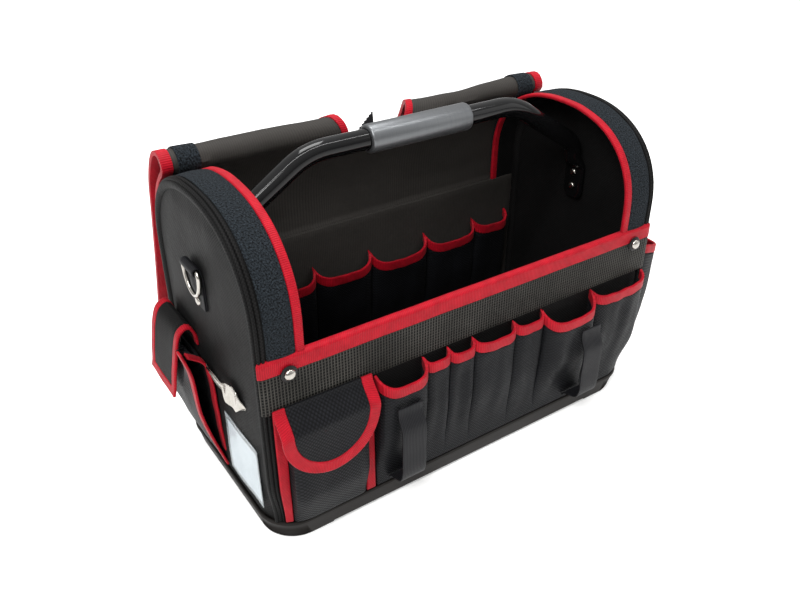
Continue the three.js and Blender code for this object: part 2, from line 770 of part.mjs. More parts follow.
function buildHandle() {
  const seat = halfLength - wall - gap; // face of the panel that the ends lie on
  const roundFrom = shoulderHeight - shoulderBend;
  const roundAt = (z) => THREE.MathUtils.smoothstep(z, plateTop, roundFrom);
  const thickAt = (z) => THREE.MathUtils.lerp(plateThickness / 2, tubeRadius, roundAt(z));
  const heights = [plateBottom, plateBottom + 4, ...range(plateTop, roundFrom, 4).slice(0, -1)];
  const straight = new THREE.Vector3(handleFlat, 0, handleHeight);
  const shoulder = new THREE.Vector3(seat - tubeRadius - gap, 0, shoulderHeight);
  const toShoulder = shoulder.clone().sub(straight).normalize();
  // a round bend as a quadratic curve between points on its two legs
  const bend = (corner, before, after, reach) => {
    const curve = new THREE.QuadraticBezierCurve3(
      corner.clone().addScaledVector(before, reach),
      corner,
      corner.clone().addScaledVector(after, reach),
    );
    return curve.getPoints(5).map(({ x, z }) => [x, z]);
  };
  const half = [
    ...heights.map((z) => [seat - thickAt(z) - gap * roundAt(z), z]),
    ...bend(shoulder, new THREE.Vector3(0, 0, -1), toShoulder.clone().negate(), shoulderBend),
    ...bend(straight, toShoulder, new THREE.Vector3(-1, 0, 0), handleBend),
  ];
  const line = [...half, ...half.map(([x, z]) => [-x, z]).reverse()];
  const loops = line.map(([x, z], i) => {
    const [nextX, nextZ] = line[Math.min(i + 1, line.length - 1)];
    const [lastX, lastZ] = line[Math.max(i - 1, 0)];
    const upright = z < roundFrom - 1;
    const along = upright
      ? new THREE.Vector3(0, 0, Math.sign(nextZ - lastZ))
      : new THREE.Vector3(nextX - lastX, 0, nextZ - lastZ).normalize();
    const across = new THREE.Vector3(0, 1, 0);
    const out = along.clone().cross(across);
    const wide = THREE.MathUtils.lerp(plateWidth / 2, tubeRadius, roundAt(z));
    const power = THREE.MathUtils.lerp(0.3, 1, roundAt(z)); // a flattened section is nearly square
    return range(0, 2 * Math.PI, 12).slice(0, -1).map((angle) => {
      const [c, s] = [Math.cos(angle), Math.sin(angle)];
      return new THREE.Vector3(x, 0, z)
        .addScaledVector(out, thickAt(z) * Math.sign(c) * Math.abs(c) ** power)
        .addScaledVector(across, wide * Math.sign(s) * Math.abs(s) ** power);
    });
  });
  const plateX = seat - plateThickness / 2;
  const holes = [-1, 1].flatMap((side) =>
    handleRivets.map((z) => bar(shankRadius + gap, 4 * wall, "x", side * plateX, 0, z)),
  );
  add("handle_tube", cut(loft(loops), ...holes), enamel);

  const [inside, end] = [tubeRadius + gap, gripLength / 2];
  const grip = new THREE.LatheGeometry(
    [[inside, -end], [gripRadius - 1.2, -end], [gripRadius, -end + 1.5], [gripRadius, end - 1.5], [gripRadius - 1.2, end], [inside, end], [inside, -end]].map(
      ([r, h]) => new THREE.Vector2(r, h),
    ),
    24,
  );
  add("handle_grip", grip.rotateZ(Math.PI / 2).translate(gripCentre, 0, handleHeight), sleeve);

  const headSeat = plateX - plateThickness / 2 - gap;
  const pin = (seat, reach, profile) =>
    new THREE.LatheGeometry(
      [[0, reach], [shankRadius, reach], [shankRadius, 0], ...profile].map(([r, h]) => new THREE.Vector2(r, h)),
      14,
    ).rotateZ(-Math.PI / 2).translate(seat, 0, 0);
  const dome = [[rivetRadius, 0], [rivetRadius * 0.9, -1.2], [rivetRadius * 0.5, -2.2], [0, -2.6]];
  handleRivets.forEach((z, i) => {
    const rivet = mergeVertices(pin(headSeat, plateThickness + gap + wall / 2, dome)).translate(0, 0, z);
    const place = i ? "lower" : "upper";
    add("handle_rivet_right_" + place, faceOut(rivet), nickel);
    add("handle_rivet_left_" + place, mirrored(rivet), nickel);
  });
}

// Ring tabs

function buildRings() {
  const fold = 2 * webbing;
  const inner = ringWire + ringPlay;
  const barOut = fold + gap + inner;
  const outer = barOut - gap; // the fold's back stays clear of the panel
  const tab = new THREE.Shape();
  tab.moveTo(gap, tabFoot - ringZ);
  tab.lineTo(gap + fold, tabFoot - ringZ);
  tab.lineTo(gap + fold, -outer * 0.8);
  tab.absarc(barOut, 0, outer, -Math.PI * 0.62, Math.PI, false);
  tab.lineTo(gap, 0);
  const eye = new THREE.Path();
  eye.absarc(barOut, 0, inner, 0, 2 * Math.PI, true);
  tab.holes.push(eye);
  const strip = new THREE.ExtrudeGeometry(tab, { depth: tabWidth, bevelEnabled: false, curveSegments: 9 });
  // the shape's x runs out from the panel, its y up, and its depth along the panel
  strip.rotateX(Math.PI / 2).translate(halfLength, ringY + tabWidth / 2, ringZ);
  const tabHole = bar(shankRadius + gap, 40, "x", halfLength, ringY, tabRivetZ);
  const rightTab = cut(strip, tabHole);

  const barEnd = ringBar / 2 - ringCorner;
  const loop = [-1, -0.7, 0, 0.7, 1].map((share) => [share * barEnd, 0]);
  for (const angle of range(0, Math.PI, 10))
    loop.push([(ringBar / 2) * Math.cos(angle), -ringCorner - (ringDrop - ringCorner) * Math.sin(angle)]);
  const wire = new THREE.CatmullRomCurve3(
    loop.map(([y, z]) => new THREE.Vector3(halfLength + barOut, ringY + y, ringZ + z)),
    true,
    "centripetal",
  );
  const ring = mergeVertices(new THREE.TubeGeometry(wire, 40, ringWire, 8, true).deleteAttribute("normal").deleteAttribute("uv"), 1e-3);
  faceOut(ring);

  const seat = halfLength + gap + fold + gap;
  const rivet = mergeVertices(
    new THREE.LatheGeometry(
      [[0, -fold - wall], [shankRadius, -fold - wall], [shankRadius, 0], [4.6, 0], [4.2, 1], [2.4, 1.9], [0, 2.2]].map(
        ([r, h]) => new THREE.Vector2(r, h),
      ),
      14,
    ).rotateZ(-Math.PI / 2).translate(seat, ringY, tabRivetZ),
  );
  faceOut(rivet);
  for (const [name, part, material] of [
    ["ring_tab_", rightTab, looped],
    ["d_ring_", ring, nickel],
    ["tab_rivet_", rivet, nickel],
  ]) {
    add(name + "right", part, material);
    add(name + "left", mirrored(part), material);
  }
}

// Left end: flap, two leaves, label window and tape clip

function buildLeftEnd() {
  const place = (out, y, z) => new THREE.Vector3(-(halfLength + out), y, z);
  const leaf = (y, { near, nearZ, under, underZ }) => {
    const covered = THREE.MathUtils.smoothstep(y, leafNear, endFlapNear - 2);
    const closed = THREE.MathUtils.smoothstep(y, leafFar - leafClose, leafFar);
    const out = THREE.MathUtils.lerp(THREE.MathUtils.lerp(near, under, covered), gap + 0.6 * cloth, closed);
    const z = THREE.MathUtils.lerp(nearZ, underZ, covered) * (1 - 0.08 * closed);
    return place(out, y, z * frontTop);
  };
  const ends = [leafNear, 10, 18, 27, 45, leafFar - leafClose, leafFar - 18, leafFar - 9, leafFar];
  for (const [name, sections] of [["outer", outerLeaf], ["inner", innerLeaf]]) {
    const stop = name === "outer" ? leafFar : leafFar - leafClose;
    add("left_pocket_" + name, sheet(gridOf(ends.filter((y) => y <= stop), sections, leaf), cloth), polyester);
    const near = gridOf([leafNear - gap, leafNear - gap - leafBinding], sections, leaf);
    add("left_pocket_tape_" + name, sheet(near, cloth + 1), redTape);
  }

  const run = new THREE.CatmullRomCurve3(endFlapRun.map(({ out, z }) => new THREE.Vector3(out, 0, z * frontTop)));
  const flap = (y, share) => {
    const { point } = onward(run, share, run.getLength());
    return place(point.x, y, point.z);
  };
  const patch = (y0, y1, s1, thickness) => sheet(gridOf([y0, y1], range(0, s1, 12), flap), thickness);
  const edge = 0.9;
  add("left_flap", patch(endFlapNear + endFlapBinding + gap, endFlapFar - endFlapBinding - gap, edge - 0.004, cloth), polyester);
  const hole = sheet(
    gridOf([endFlapNear + endFlapBinding, endFlapFar - endFlapBinding], range(-0.04, edge, 14), flap),
    12,
  );
  add("left_flap_binding", cut(patch(endFlapNear, endFlapFar, 1, tape), hole), redTape);

  const { near, far, low, high, thick } = label;
  const window = gridOf([near, far], [low, high], (y, z) => place(gap + thick / 2, y, z));
  add("label_window", sheet(window, thick), vinyl);

  const from = place(clipStart.out, clipStart.y, clipStart.z);
  const to = place(clipEnd.out, clipEnd.y, clipEnd.z);
  const along = to.clone().sub(from);
  const side = new THREE.Vector3(1, 0, 0).cross(along).normalize();
  const clip = gridOf([-1, 1], clipShape, (hand, { run: share, half }) =>
    from.clone().addScaledVector(along, share).addScaledVector(side, hand * half),
  );
  add("tape_clip", sheet(clip, clipThickness), nickel);
}

// Right end: one gusseted pocket

function buildRightEnd() {
  const { near, far, foot, top, depth, sag } = sidePocket;
  const stand = gap + tape / 2;
  const at = (reach) => (across, rise) => {
    const share = (1 - Math.abs(2 * across - 1) ** 6) ** 0.5;
    const lip = top - sag * share;
    const z = foot + (lip - reach - foot) * rise;
    const out = stand + depth * share * swell((z - foot) / (lip - foot));
    return new THREE.Vector3(halfLength + out, near + (far - near) * across, z);
  };
  const stops = [0, 0.03, 0.1, 0.25, 0.5, 0.75, 0.9, 0.97, 1];
  add("right_pocket", tucked(sheet(gridOf(stops, range(0, 1, 6), at(pocketBinding + gap)), cloth)), polyester);
  const lipShare = 1 - pocketBinding / (top - foot - sag / 2);
  add("right_pocket_binding", sheet(gridOf(stops, [lipShare + 0.004, 1], at(0)), tape - gap), redTape);
}

// Pockets inside the back wall

function buildInsidePockets() {
  const face = halfDepth - wall;
  const row = pocketRow(insidePockets, insidePocketLeft, pocketFoot, insidePocketTop, face, -1);
  row.single.forEach((pocket, i) => add("inside_pocket_cloth_" + (i + 1), tucked(pocket), polyester));
  add("inside_pocket_binding", row.lip, redTape);
}

buildTray();
buildEnds();
buildWalls();
buildFrontPockets();
buildPouch();
buildLid();
buildHandle();
buildRings();
buildLeftEnd();
buildRightEnd();
buildInsidePockets();

export default bag;
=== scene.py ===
# Open tool bag on its moulded base: padded black cloth, red edge tape, a bent steel handle with a grey sleeve
# Everything is worked out in millimetres and turned to metres when a piece is finished

import bisect
import math

import bmesh
import bpy
from mathutils import Matrix, Vector, noise


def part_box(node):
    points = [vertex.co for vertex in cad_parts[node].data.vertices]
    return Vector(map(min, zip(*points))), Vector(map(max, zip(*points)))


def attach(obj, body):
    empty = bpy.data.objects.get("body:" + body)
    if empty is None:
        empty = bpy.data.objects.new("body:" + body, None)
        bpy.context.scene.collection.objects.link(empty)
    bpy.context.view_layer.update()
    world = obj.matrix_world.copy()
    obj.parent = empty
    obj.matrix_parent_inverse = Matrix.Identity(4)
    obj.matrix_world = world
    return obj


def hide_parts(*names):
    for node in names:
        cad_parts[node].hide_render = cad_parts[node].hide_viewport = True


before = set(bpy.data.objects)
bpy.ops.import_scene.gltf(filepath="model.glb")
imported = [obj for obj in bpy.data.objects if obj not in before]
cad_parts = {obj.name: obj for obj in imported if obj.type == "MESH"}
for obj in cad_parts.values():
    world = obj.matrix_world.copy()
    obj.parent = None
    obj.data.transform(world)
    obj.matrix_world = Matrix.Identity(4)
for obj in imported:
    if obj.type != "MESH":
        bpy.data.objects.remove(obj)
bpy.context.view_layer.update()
mm = 0.001


def boxMm(node):
    low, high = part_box(node)
    return low / mm, high / mm


bag = {
    "halfLength": boxMm("end_panel_right")[1].x,
    "halfDepth": boxMm("hood_left")[1].y,
    "archTop": boxMm("hood_left")[1].z,
    "archSpring": 223.0,
    "archPower": 2.3,
    "frontTop": boxMm("front_top_binding")[1].z,
    "backTop": boxMm("hood_left")[0].z,
    "base": boxMm("front_wall")[0].z,
    "trayTop": boxMm("base_tray")[1].z,
    "corner": 36.0,
    "tuck": 0.8,
    "tuckTop": 78.0,
    "clear": 0.3,
}
bag["wallHalf"] = boxMm("front_wall")[1].x


# Small sums used all over

def ease(value, low=0.0, high=1.0):
    share = min(max((value - low) / (high - low), 0.0), 1.0)
    return share * share * (3 - 2 * share)


def lerp(a, b, share):
    return a + (b - a) * share


def spread(low, high, steps):
    return [low + (high - low) * step / steps for step in range(steps + 1)]


def ripple(x, y, size, seed):  # soft unevenness from -1 to 1, about size mm from hump to hump
    return noise.noise(Vector((x / size, y / size, seed * 7.31)))


def makeRoute(points):  # a line in a plane with its running length
    points = [Vector(point) for point in points]
    at = [0.0]
    for a, b in zip(points, points[1:]):
        at.append(at[-1] + (b - a).length)
    return {"points": points, "at": at, "length": at[-1]}


def onRoute(route, distance):  # point and direction, carried on straight past the ends
    points, at = route["points"], route["at"]
    index = min(max(bisect.bisect_right(at, distance) - 1, 0), len(points) - 2)
    along = points[index + 1] - points[index]
    span = at[index + 1] - at[index]
    share = (distance - at[index]) / span
    return points[index] + along * share, along / span


def smoothRoute(points, steps):  # a round line through chosen points, centripetal Catmull-Rom
    points = [Vector(point) for point in points]
    ends = [points[0] * 2 - points[1]] + points + [points[-1] * 2 - points[-2]]
    line = []
    for a, b, c, d in zip(ends, ends[1:], ends[2:], ends[3:]):
        t1 = (b - a).length ** 0.5
        t2 = t1 + (c - b).length ** 0.5
        t3 = t2 + (d - c).length ** 0.5
        for step in range(steps):
            t = t1 + (t2 - t1) * step / steps
            p = a * ((t1 - t) / t1) + b * (t / t1)
            q = b * ((t2 - t) / (t2 - t1)) + c * ((t - t1) / (t2 - t1))
            r = c * ((t3 - t) / (t3 - t2)) + d * ((t - t2) / (t3 - t2))
            pq = p * ((t2 - t) / t2) + q * (t / t2)
            qr = q * ((t3 - t) / (t3 - t1)) + r * ((t - t1) / (t3 - t1))
            line.append(pq * ((t2 - t) / (t2 - t1)) + qr * ((t - t1) / (t2 - t1)))
    return makeRoute(line + [points[-1]])


def tucked(point):  # the cloth body's corners are drawn in over the tray's rounder corners
    dx = abs(point.x) - (bag["halfLength"] - bag["corner"])
    dy = abs(point.y) - (bag["halfDepth"] - bag["corner"])
    if point.z >= bag["tuckTop"] or dx <= 0 or dy <= 0:
        return point
    share = bag["tuck"] * (1 - ease(point.z, bag["trayTop"], bag["tuckTop"]))
    keep = 1 - share * (1 - max(dx, dy) / math.hypot(dx, dy))
    point.x = math.copysign(bag["halfLength"] - bag["corner"] + dx * keep, point.x)
    point.y = math.copysign(bag["halfDepth"] - bag["corner"] + dy * keep, point.y)
    return point


def archRoute(inset, frontFoot, backFoot):  # outline of the ends in Y and Z, front foot to back foot
    half = bag["halfDepth"] - inset
    rise = bag["archTop"] - bag["archSpring"] - inset
    points = [(-half, z) for z in spread(frontFoot, bag["archSpring"], 12)[:-1]]
    for angle in spread(0, math.pi, 90):
        across, up = math.cos(angle), max(math.sin(angle), 0.0)
        y = -half * math.copysign(abs(across) ** (2 / bag["archPower"]), across)
        points.append((y, bag["archSpring"] + rise * up ** (2 / bag["archPower"])))
    points += [(half, z) for z in spread(bag["archSpring"], backFoot, 12)[1:]]
    return makeRoute(points)


# Materials

def toLinear(hexColour):
    values = [int(hexColour[i:i + 2], 16) / 255 for i in (0, 2, 4)]
    return [v / 12.92 if v <= 0.04045 else ((v + 0.055) / 1.055) ** 2.4 for v in values] + [1.0]


def addNode(tree, kind, settings=None, links=None):
    node = tree.nodes.new(kind)
    for key, value in (settings or {}).items():
        if isinstance(key, int) or key in node.inputs:
            node.inputs[key].default_value = value
        else:
            setattr(node, key, value)
    for key, source in (links or {}).items():
        tree.links.new(source, node.inputs[key])
    return node


def startMaterial(name, settings):
    material = bpy.data.materials.new(name)
    material.use_nodes = True
    tree = material.node_tree
    shader = tree.nodes["Principled BSDF"]
    for key, value in settings.items():
        shader.inputs[key].default_value = value
    return material, tree, shader


def sums(tree, kind, first, second=None, third=None):  # one step of arithmetic on numbers or sockets
    settings, links = {"operation": kind}, {}
    for index, value in enumerate((first, second, third)):
        if isinstance(value, (int, float)):
            settings[index] = value
        elif value is not None:
            links[index] = value
    return addNode(tree, "ShaderNodeMath", settings, links).outputs[0]


def clothAxes(tree):  # the piece's own cloth coordinates in millimetres
    uv = addNode(tree, "ShaderNodeUVMap", {"uv_map": "cloth"})
    scaled = addNode(
        tree, "ShaderNodeVectorMath", {"operation": "SCALE", "Scale": 1 / mm}, {0: uv.outputs[0]}
    )
    split = addNode(tree, "ShaderNodeSeparateXYZ", {}, {0: scaled.outputs[0]})
    return scaled.outputs[0], split.outputs[0], split.outputs[1]


def objectAxes(tree):
    place = addNode(tree, "ShaderNodeTexCoord")
    scaled = addNode(
        tree, "ShaderNodeVectorMath", {"operation": "SCALE", "Scale": 1 / mm}, {0: place.outputs["Object"]}
    )
    return scaled.outputs[0]


def mottle(tree, place, size, detail=3.0, roughness=0.55):
    settings = {"Scale": 1 / size, "Detail": detail, "Roughness": roughness}
    return addNode(tree, "ShaderNodeTexNoise", settings, {"Vector": place}).outputs[0]


def blendColours(tree, share, dark, light):
    settings = {"data_type": "RGBA", 6: toLinear(dark), 7: toLinear(light)}
    return addNode(tree, "ShaderNodeMix", settings, {0: share}).outputs[2]


def raiseSurface(tree, shader, height, depth, strength=1.0, under=None):  # bump of a real depth in mm
    links = {"Height": height}
    if under:
        links["Normal"] = under
    bump = addNode(tree, "ShaderNodeBump", {"Strength": strength, "Distance": depth * mm}, links)
    tree.links.new(bump.outputs[0], shader.inputs["Normal"])


def ribs(tree, axis, pitch):  # 0 to 1 and back over each pitch
    angle = sums(tree, "MULTIPLY", axis, 2 * math.pi / pitch)
    return sums(tree, "MULTIPLY_ADD", sums(tree, "SINE", angle), 0.5, 0.5)


cloths = {
    # plain woven polyester with small grey glints, drawn at 1.5 mm a thread, coarser than real cloth
    "bodyPolyester": {
        "dark": "090909", "light": "1f1e1e", "thread": 1.5, "depth": 0.22, "roughness": 0.6, "shine": 0.07,
    },
    # heavier cloth of the pockets, drawn at 1.9 mm a thread so that the weave shows
    "pocketPolyester": {
        "dark": "070708", "light": "212226", "thread": 1.9, "depth": 0.32, "roughness": 0.5, "shine": 0.08,
    },
    # thin smooth cloth of the lid and the lining, with a faint twill drawn at 1.1 mm a thread
    "liningTwill": {
        "dark": "282624", "light": "3b3835", "thread": 1.1, "depth": 0.08, "roughness": 0.62, "shine": 0.12,
    },
}
# soft unevenness of cloth that isn't stretched: size and depth in mm
slack = {"size": 12, "depth": 0.9, "strength": 0.6}


def wovenCloth(name):
    spec = cloths[name]
    material, tree, shader = startMaterial(name, {
        "Roughness": spec["roughness"], "Specular IOR Level": spec["shine"],
        "Sheen Weight": 0.01, "Sheen Roughness": 0.4,
    })
    place, x, y = clothAxes(tree)
    if name == "liningTwill":
        x = sums(tree, "ADD", x, y)
    warp = ribs(tree, x, 2 * spec["thread"])
    weft = ribs(tree, y, 2 * spec["thread"])
    weave = sums(tree, "ABSOLUTE", sums(tree, "SUBTRACT", warp, weft))
    wear = mottle(tree, place, 60)
    share = sums(tree, "MULTIPLY", weave, sums(tree, "MULTIPLY_ADD", wear, 1.1, 0.05))
    tree.links.new(blendColours(tree, share, spec["dark"], spec["light"]), shader.inputs["Base Color"])
    under = addNode(
        tree, "ShaderNodeBump", {"Strength": slack["strength"], "Distance": slack["depth"] * mm},
        {"Height": mottle(tree, place, slack["size"], 2)},
    )
    raiseSurface(tree, shader, weave, spec["depth"], 0.9, under.outputs[0])
    return material


def redTape():  # grosgrain binding: dyed polyester with ribs across it, a little coarser than real ones
    material, tree, shader = startMaterial(
        "redGrosgrain", {"Roughness": 0.5, "Specular IOR Level": 0.1, "Sheen Weight": 0.02}
    )
    place, x, y = clothAxes(tree)
    rib = ribs(tree, y, 1.7)
    wear = mottle(tree, place, 14)
    share = sums(tree, "MULTIPLY", sums(tree, "MULTIPLY_ADD", rib, 0.5, 0.5), wear)
    tree.links.new(blendColours(tree, share, "6c0410", "c01226"), shader.inputs["Base Color"])
    raiseSurface(tree, shader, rib, 0.25, 0.8)
    return material


def ripstopNet():  # coarse polyester netting over black cloth: a grid of raised grey threads with dark holes
    material, tree, shader = startMaterial("ripstopNet", {"Roughness": 0.5, "Specular IOR Level": 0.06})
    place, x, y = clothAxes(tree)
    pitch = 2.9  # the real one is nearer 2 mm, a little coarser here so that it shows
    upright = sums(tree, "POWER", ribs(tree, x, pitch), 2.6)
    level = sums(tree, "POWER", ribs(tree, y, pitch), 3.6)
    grid = sums(tree, "MAXIMUM", upright, sums(tree, "MULTIPLY", level, 0.6))
    wear = mottle(tree, place, 45)
    share = sums(tree, "MULTIPLY", grid, sums(tree, "MULTIPLY_ADD", wear, 1.2, 0.1))
    tree.links.new(blendColours(tree, share, "030303", "4c4a46"), shader.inputs["Base Color"])
    raiseSurface(tree, shader, grid, 0.5, 0.9)
    return material


def loopPile():  # loop side of hook and loop tape: soft knitted loops in slanting rows, blue-black
    material, tree, shader = startMaterial("loopPile", {
        "Roughness": 0.95, "Sheen Weight": 0.02, "Sheen Roughness": 0.6, "Specular IOR Level": 0.05,
    })
    place, x, y = clothAxes(tree)
    rows = ribs(tree, sums(tree, "ADD", x, sums(tree, "MULTIPLY", y, 0.6)), 2.4)
    fuzz = mottle(tree, place, 1.5, 4, 0.7)
    share = sums(tree, "MULTIPLY_ADD", rows, 0.15, sums(tree, "MULTIPLY_ADD", fuzz, 3.4, -1.4))
    tree.links.new(blendColours(tree, share, "030304", "30373d"), shader.inputs["Base Color"])
    raiseSurface(tree, shader, share, 0.7, 1.0)
    return material


def webbingBlack():  # flat nylon webbing: ribs along it, crossed by fainter ones
    material, tree, shader = startMaterial("nylonWebbing", {"Roughness": 0.5, "Specular IOR Level": 0.12})
    _, x, y = clothAxes(tree)
    rib = ribs(tree, x, 1.6)
    cross = ribs(tree, y, 1.2)
    share = sums(tree, "MULTIPLY", rib, sums(tree, "MULTIPLY_ADD", cross, 0.4, 0.4))
    tree.links.new(blendColours(tree, share, "0a0a0c", "27272a"), shader.inputs["Base Color"])
    raiseSurface(tree, shader, share, 0.3, 0.8)
    return material


def mouldedBase():  # injection moulded polypropylene: fine grain and an uneven sheen
    material, tree, shader = startMaterial(
        "mouldedPolypropylene", {"Roughness": 0.5, "IOR": 1.49, "Specular IOR Level": 0.1}
    )
    place = objectAxes(tree)
    grain = mottle(tree, place, 0.9, 2)
    stain = mottle(tree, place, 70, 4)
    tree.links.new(blendColours(tree, stain, "141211", "24211f"), shader.inputs["Base Color"])
    rough = sums(tree, "MULTIPLY_ADD", stain, 0.25, 0.36)
    tree.links.new(rough, shader.inputs["Roughness"])
    raiseSurface(tree, shader, grain, 0.08, 0.5)
    return material


def blackEnamel():  # stoved enamel on steel tube: deep gloss with a slight orange peel
    material, tree, shader = startMaterial("stovedEnamel", {
        "Roughness": 0.08, "Coat Weight": 0.12, "Coat Roughness": 0.03, "Specular IOR Level": 0.2,
    })
    place = objectAxes(tree)
    peel = mottle(tree, place, 4, 1)
    speck = mottle(tree, place, 25, 5)
    tree.links.new(blendColours(tree, speck, "050505", "0d0d0e"), shader.inputs["Base Color"])
    raiseSurface(tree, shader, peel, 0.02, 0.4)
    return material


def greySleeve():  # satin grey sleeve, turned so that fine lines run round it
    material, tree, shader = startMaterial("satinSleeve", {"Roughness": 0.36, "Metallic": 0.75})
    place = objectAxes(tree)
    split = addNode(tree, "ShaderNodeSeparateXYZ", {}, {0: place})
    line = mottle(tree, split.outputs[0], 0.9, 4, 0.7)
    tree.links.new(blendColours(tree, line, "4a4c4e", "747678"), shader.inputs["Base Color"])
    raiseSurface(tree, shader, line, 0.06, 0.5)
    return material


def nickelPlate():  # bright nickel on steel, lightly marked by handling
    material, tree, shader = startMaterial("brightNickel", {"Metallic": 1.0, "Roughness": 0.2})
    place = objectAxes(tree)
    marks = mottle(tree, place, 3, 4)
    tree.links.new(blendColours(tree, marks, "8d8983", "b9b5ae"), shader.inputs["Base Color"])
    tree.links.new(sums(tree, "MULTIPLY_ADD", marks, 0.25, 0.1), shader.inputs["Roughness"])
    return material


def blackWasher():  # phosphated steel washer under each front rivet
    material, tree, shader = startMaterial("phosphatedSteel", {"Metallic": 0.6, "Roughness": 0.45})
    shade = mottle(tree, objectAxes(tree), 2, 3)
    tree.links.new(blendColours(tree, shade, "0a0a0a", "1c1b1b"), shader.inputs["Base Color"])
    return material


def clearVinyl():  # clear soft vinyl, slightly cloudy, over a plain card
    material, tree, shader = startMaterial("clearVinyl", {"Roughness": 0.12, "IOR": 1.53, "Alpha": 0.28})
    cloud = mottle(tree, objectAxes(tree), 20, 3)
    tree.links.new(blendColours(tree, cloud, "aab4ba", "e6ecef"), shader.inputs["Base Color"])
    raiseSurface(tree, shader, cloud, 0.8, 0.5)
    return material


def paleCard():  # plain uncoated board, cool white
    material, tree, shader = startMaterial("plainBoard", {"Roughness": 0.7})
    fibre = mottle(tree, objectAxes(tree), 3, 5)
    tree.links.new(blendColours(tree, fibre, "b7c1c6", "d5dde1"), shader.inputs["Base Color"])
    raiseSurface(tree, shader, fibre, 0.05, 0.3)
    return material


materials = {
    "body": wovenCloth("bodyPolyester"),
    "pocket": wovenCloth("pocketPolyester"),
    "lining": wovenCloth("liningTwill"),
    "tape": redTape(),
    "net": ripstopNet(),
    "pile": loopPile(),
    "webbing": webbingBlack(),
    "base": mouldedBase(),
    "enamel": blackEnamel(),
    "sleeve": greySleeve(),
    "nickel": nickelPlate(),
    "washer": blackWasher(),
    "vinyl": clearVinyl(),
    "card": paleCard(),
}
print("materials made")


# Turning a bmesh in millimetres into a finished piece

def finishPiece(bm, name, finish, replaces=(), body="bag", thick=0.0, edge=0.0, smooth=0, sharp=42.0):
    bmesh.ops.scale(bm, vec=(mm, mm, mm), verts=bm.verts)
    mesh = bpy.data.meshes.new(name)
    bm.to_mesh(mesh)
    bm.free()
    piece = bpy.data.objects.new(name, mesh)
    bpy.context.scene.collection.objects.link(piece)
    mesh.materials.append(materials[finish])
    if thick:
        wallMaker = piece.modifiers.new("wall", "SOLIDIFY")
        wallMaker.thickness = thick * mm
        wallMaker.offset = 0
        wallMaker.use_even_offset = False  # an even wall throws spikes out of tight folds
    if edge:
        rounder = piece.modifiers.new("edge", "BEVEL")
        rounder.width = edge * mm
        rounder.segments = 2
        rounder.limit_method = "ANGLE"
        rounder.angle_limit = math.radians(50)
    if smooth:
        finer = piece.modifiers.new("finer", "SUBSURF")
        finer.levels = finer.render_levels = smooth
    if piece.modifiers:
        seen = piece.evaluated_get(bpy.context.evaluated_depsgraph_get())
        made = bpy.data.meshes.new_from_object(seen)
        piece.modifiers.clear()
        piece.data = made
        bpy.data.meshes.remove(mesh)
        mesh = made
    mesh.name = name
    mesh.polygons.foreach_set("use_smooth", [True] * len(mesh.polygons))
    mesh.set_sharp_from_angle(angle=math.radians(sharp))
    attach(piece, body)
    if replaces:
        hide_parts(*replaces)
    return piece


def clothGrid(across, along, cell, place, holes=(), keep=None, lines=((), ())):
    # a flat cut of cloth in millimetres, its own coordinates kept, then put in place
    bm = bmesh.new()
    width, length = across[1] - across[0], along[1] - along[0]
    columns, rows = max(1, round(width / cell[0])), max(1, round(length / cell[1]))
    bmesh.ops.create_grid(bm, x_segments=columns, y_segments=rows, size=0.5)
    middle = Vector(((across[0] + across[1]) / 2, (along[0] + along[1]) / 2, 0))
    bmesh.ops.scale(bm, vec=(width, length, 1), verts=bm.verts)
    bmesh.ops.translate(bm, vec=middle, verts=bm.verts)
    cuts = [(0, value) for value in lines[0]] + [(1, value) for value in lines[1]]
    for x0, x1, y0, y1 in holes:
        cuts += [(0, x0), (0, x1), (1, y0), (1, y1)]
    for axis, value in cuts:
        direction = Vector((1, 0, 0)) if axis == 0 else Vector((0, 1, 0))
        everything = bm.verts[:] + bm.edges[:] + bm.faces[:]
        bmesh.ops.bisect_plane(bm, geom=everything, dist=1e-4, plane_co=direction * value, plane_no=direction)
    gone = [
        face
        for face in bm.faces
        if any(x0 < face.calc_center_median().x < x1 and y0 < face.calc_center_median().y < y1
               for x0, x1, y0, y1 in holes)
        or (keep and not keep(face.calc_center_median()))
    ]
    bmesh.ops.delete(bm, geom=gone, context="FACES")
    uv = bm.loops.layers.uv.new("cloth")
    for face in bm.faces:
        for loop in face.loops:
            loop[uv].uv = (loop.vert.co.x * mm, loop.vert.co.y * mm)
    for vert in bm.verts:
        vert.co = place(vert.co.x, vert.co.y)
    return bm


def turnCloth(bm):  # a tape's ribs run across its length
    uv = bm.loops.layers.uv["cloth"]
    for face in bm.faces:
        for loop in face.loops:
            loop[uv].uv = loop[uv].uv.yx


def tubeGrid(route, side, sides, section, step):
    # a skin round a planar line; section(distance, angle) gives how far out and how far to the side
    steps = round(route["length"] / step)

    def place(turn, distance):
        point, along = onRoute(route, distance)
        out = along.cross(side).normalized()
        outward, sideways = section(distance, 2 * math.pi * turn / sides)
        return point + out * outward + side * sideways

    bm = clothGrid((0, sides), (0, route["length"]), (1, route["length"] / steps), place)
    bmesh.ops.remove_doubles(bm, verts=bm.verts, dist=0.01)
    rims = [edge for edge in bm.edges if edge.is_boundary]
    if rims:
        bmesh.ops.holes_fill(bm, edges=rims, sides=0)
    bmesh.ops.recalc_face_normals(bm, faces=bm.faces)
    girth = 2 * math.pi * 5.0  # millimetres of cloth round a welt
    uv = bm.loops.layers.uv["cloth"]
    for face in bm.faces:
        for loop in face.loops:
            loop[uv].uv.x *= girth / sides
    return bm


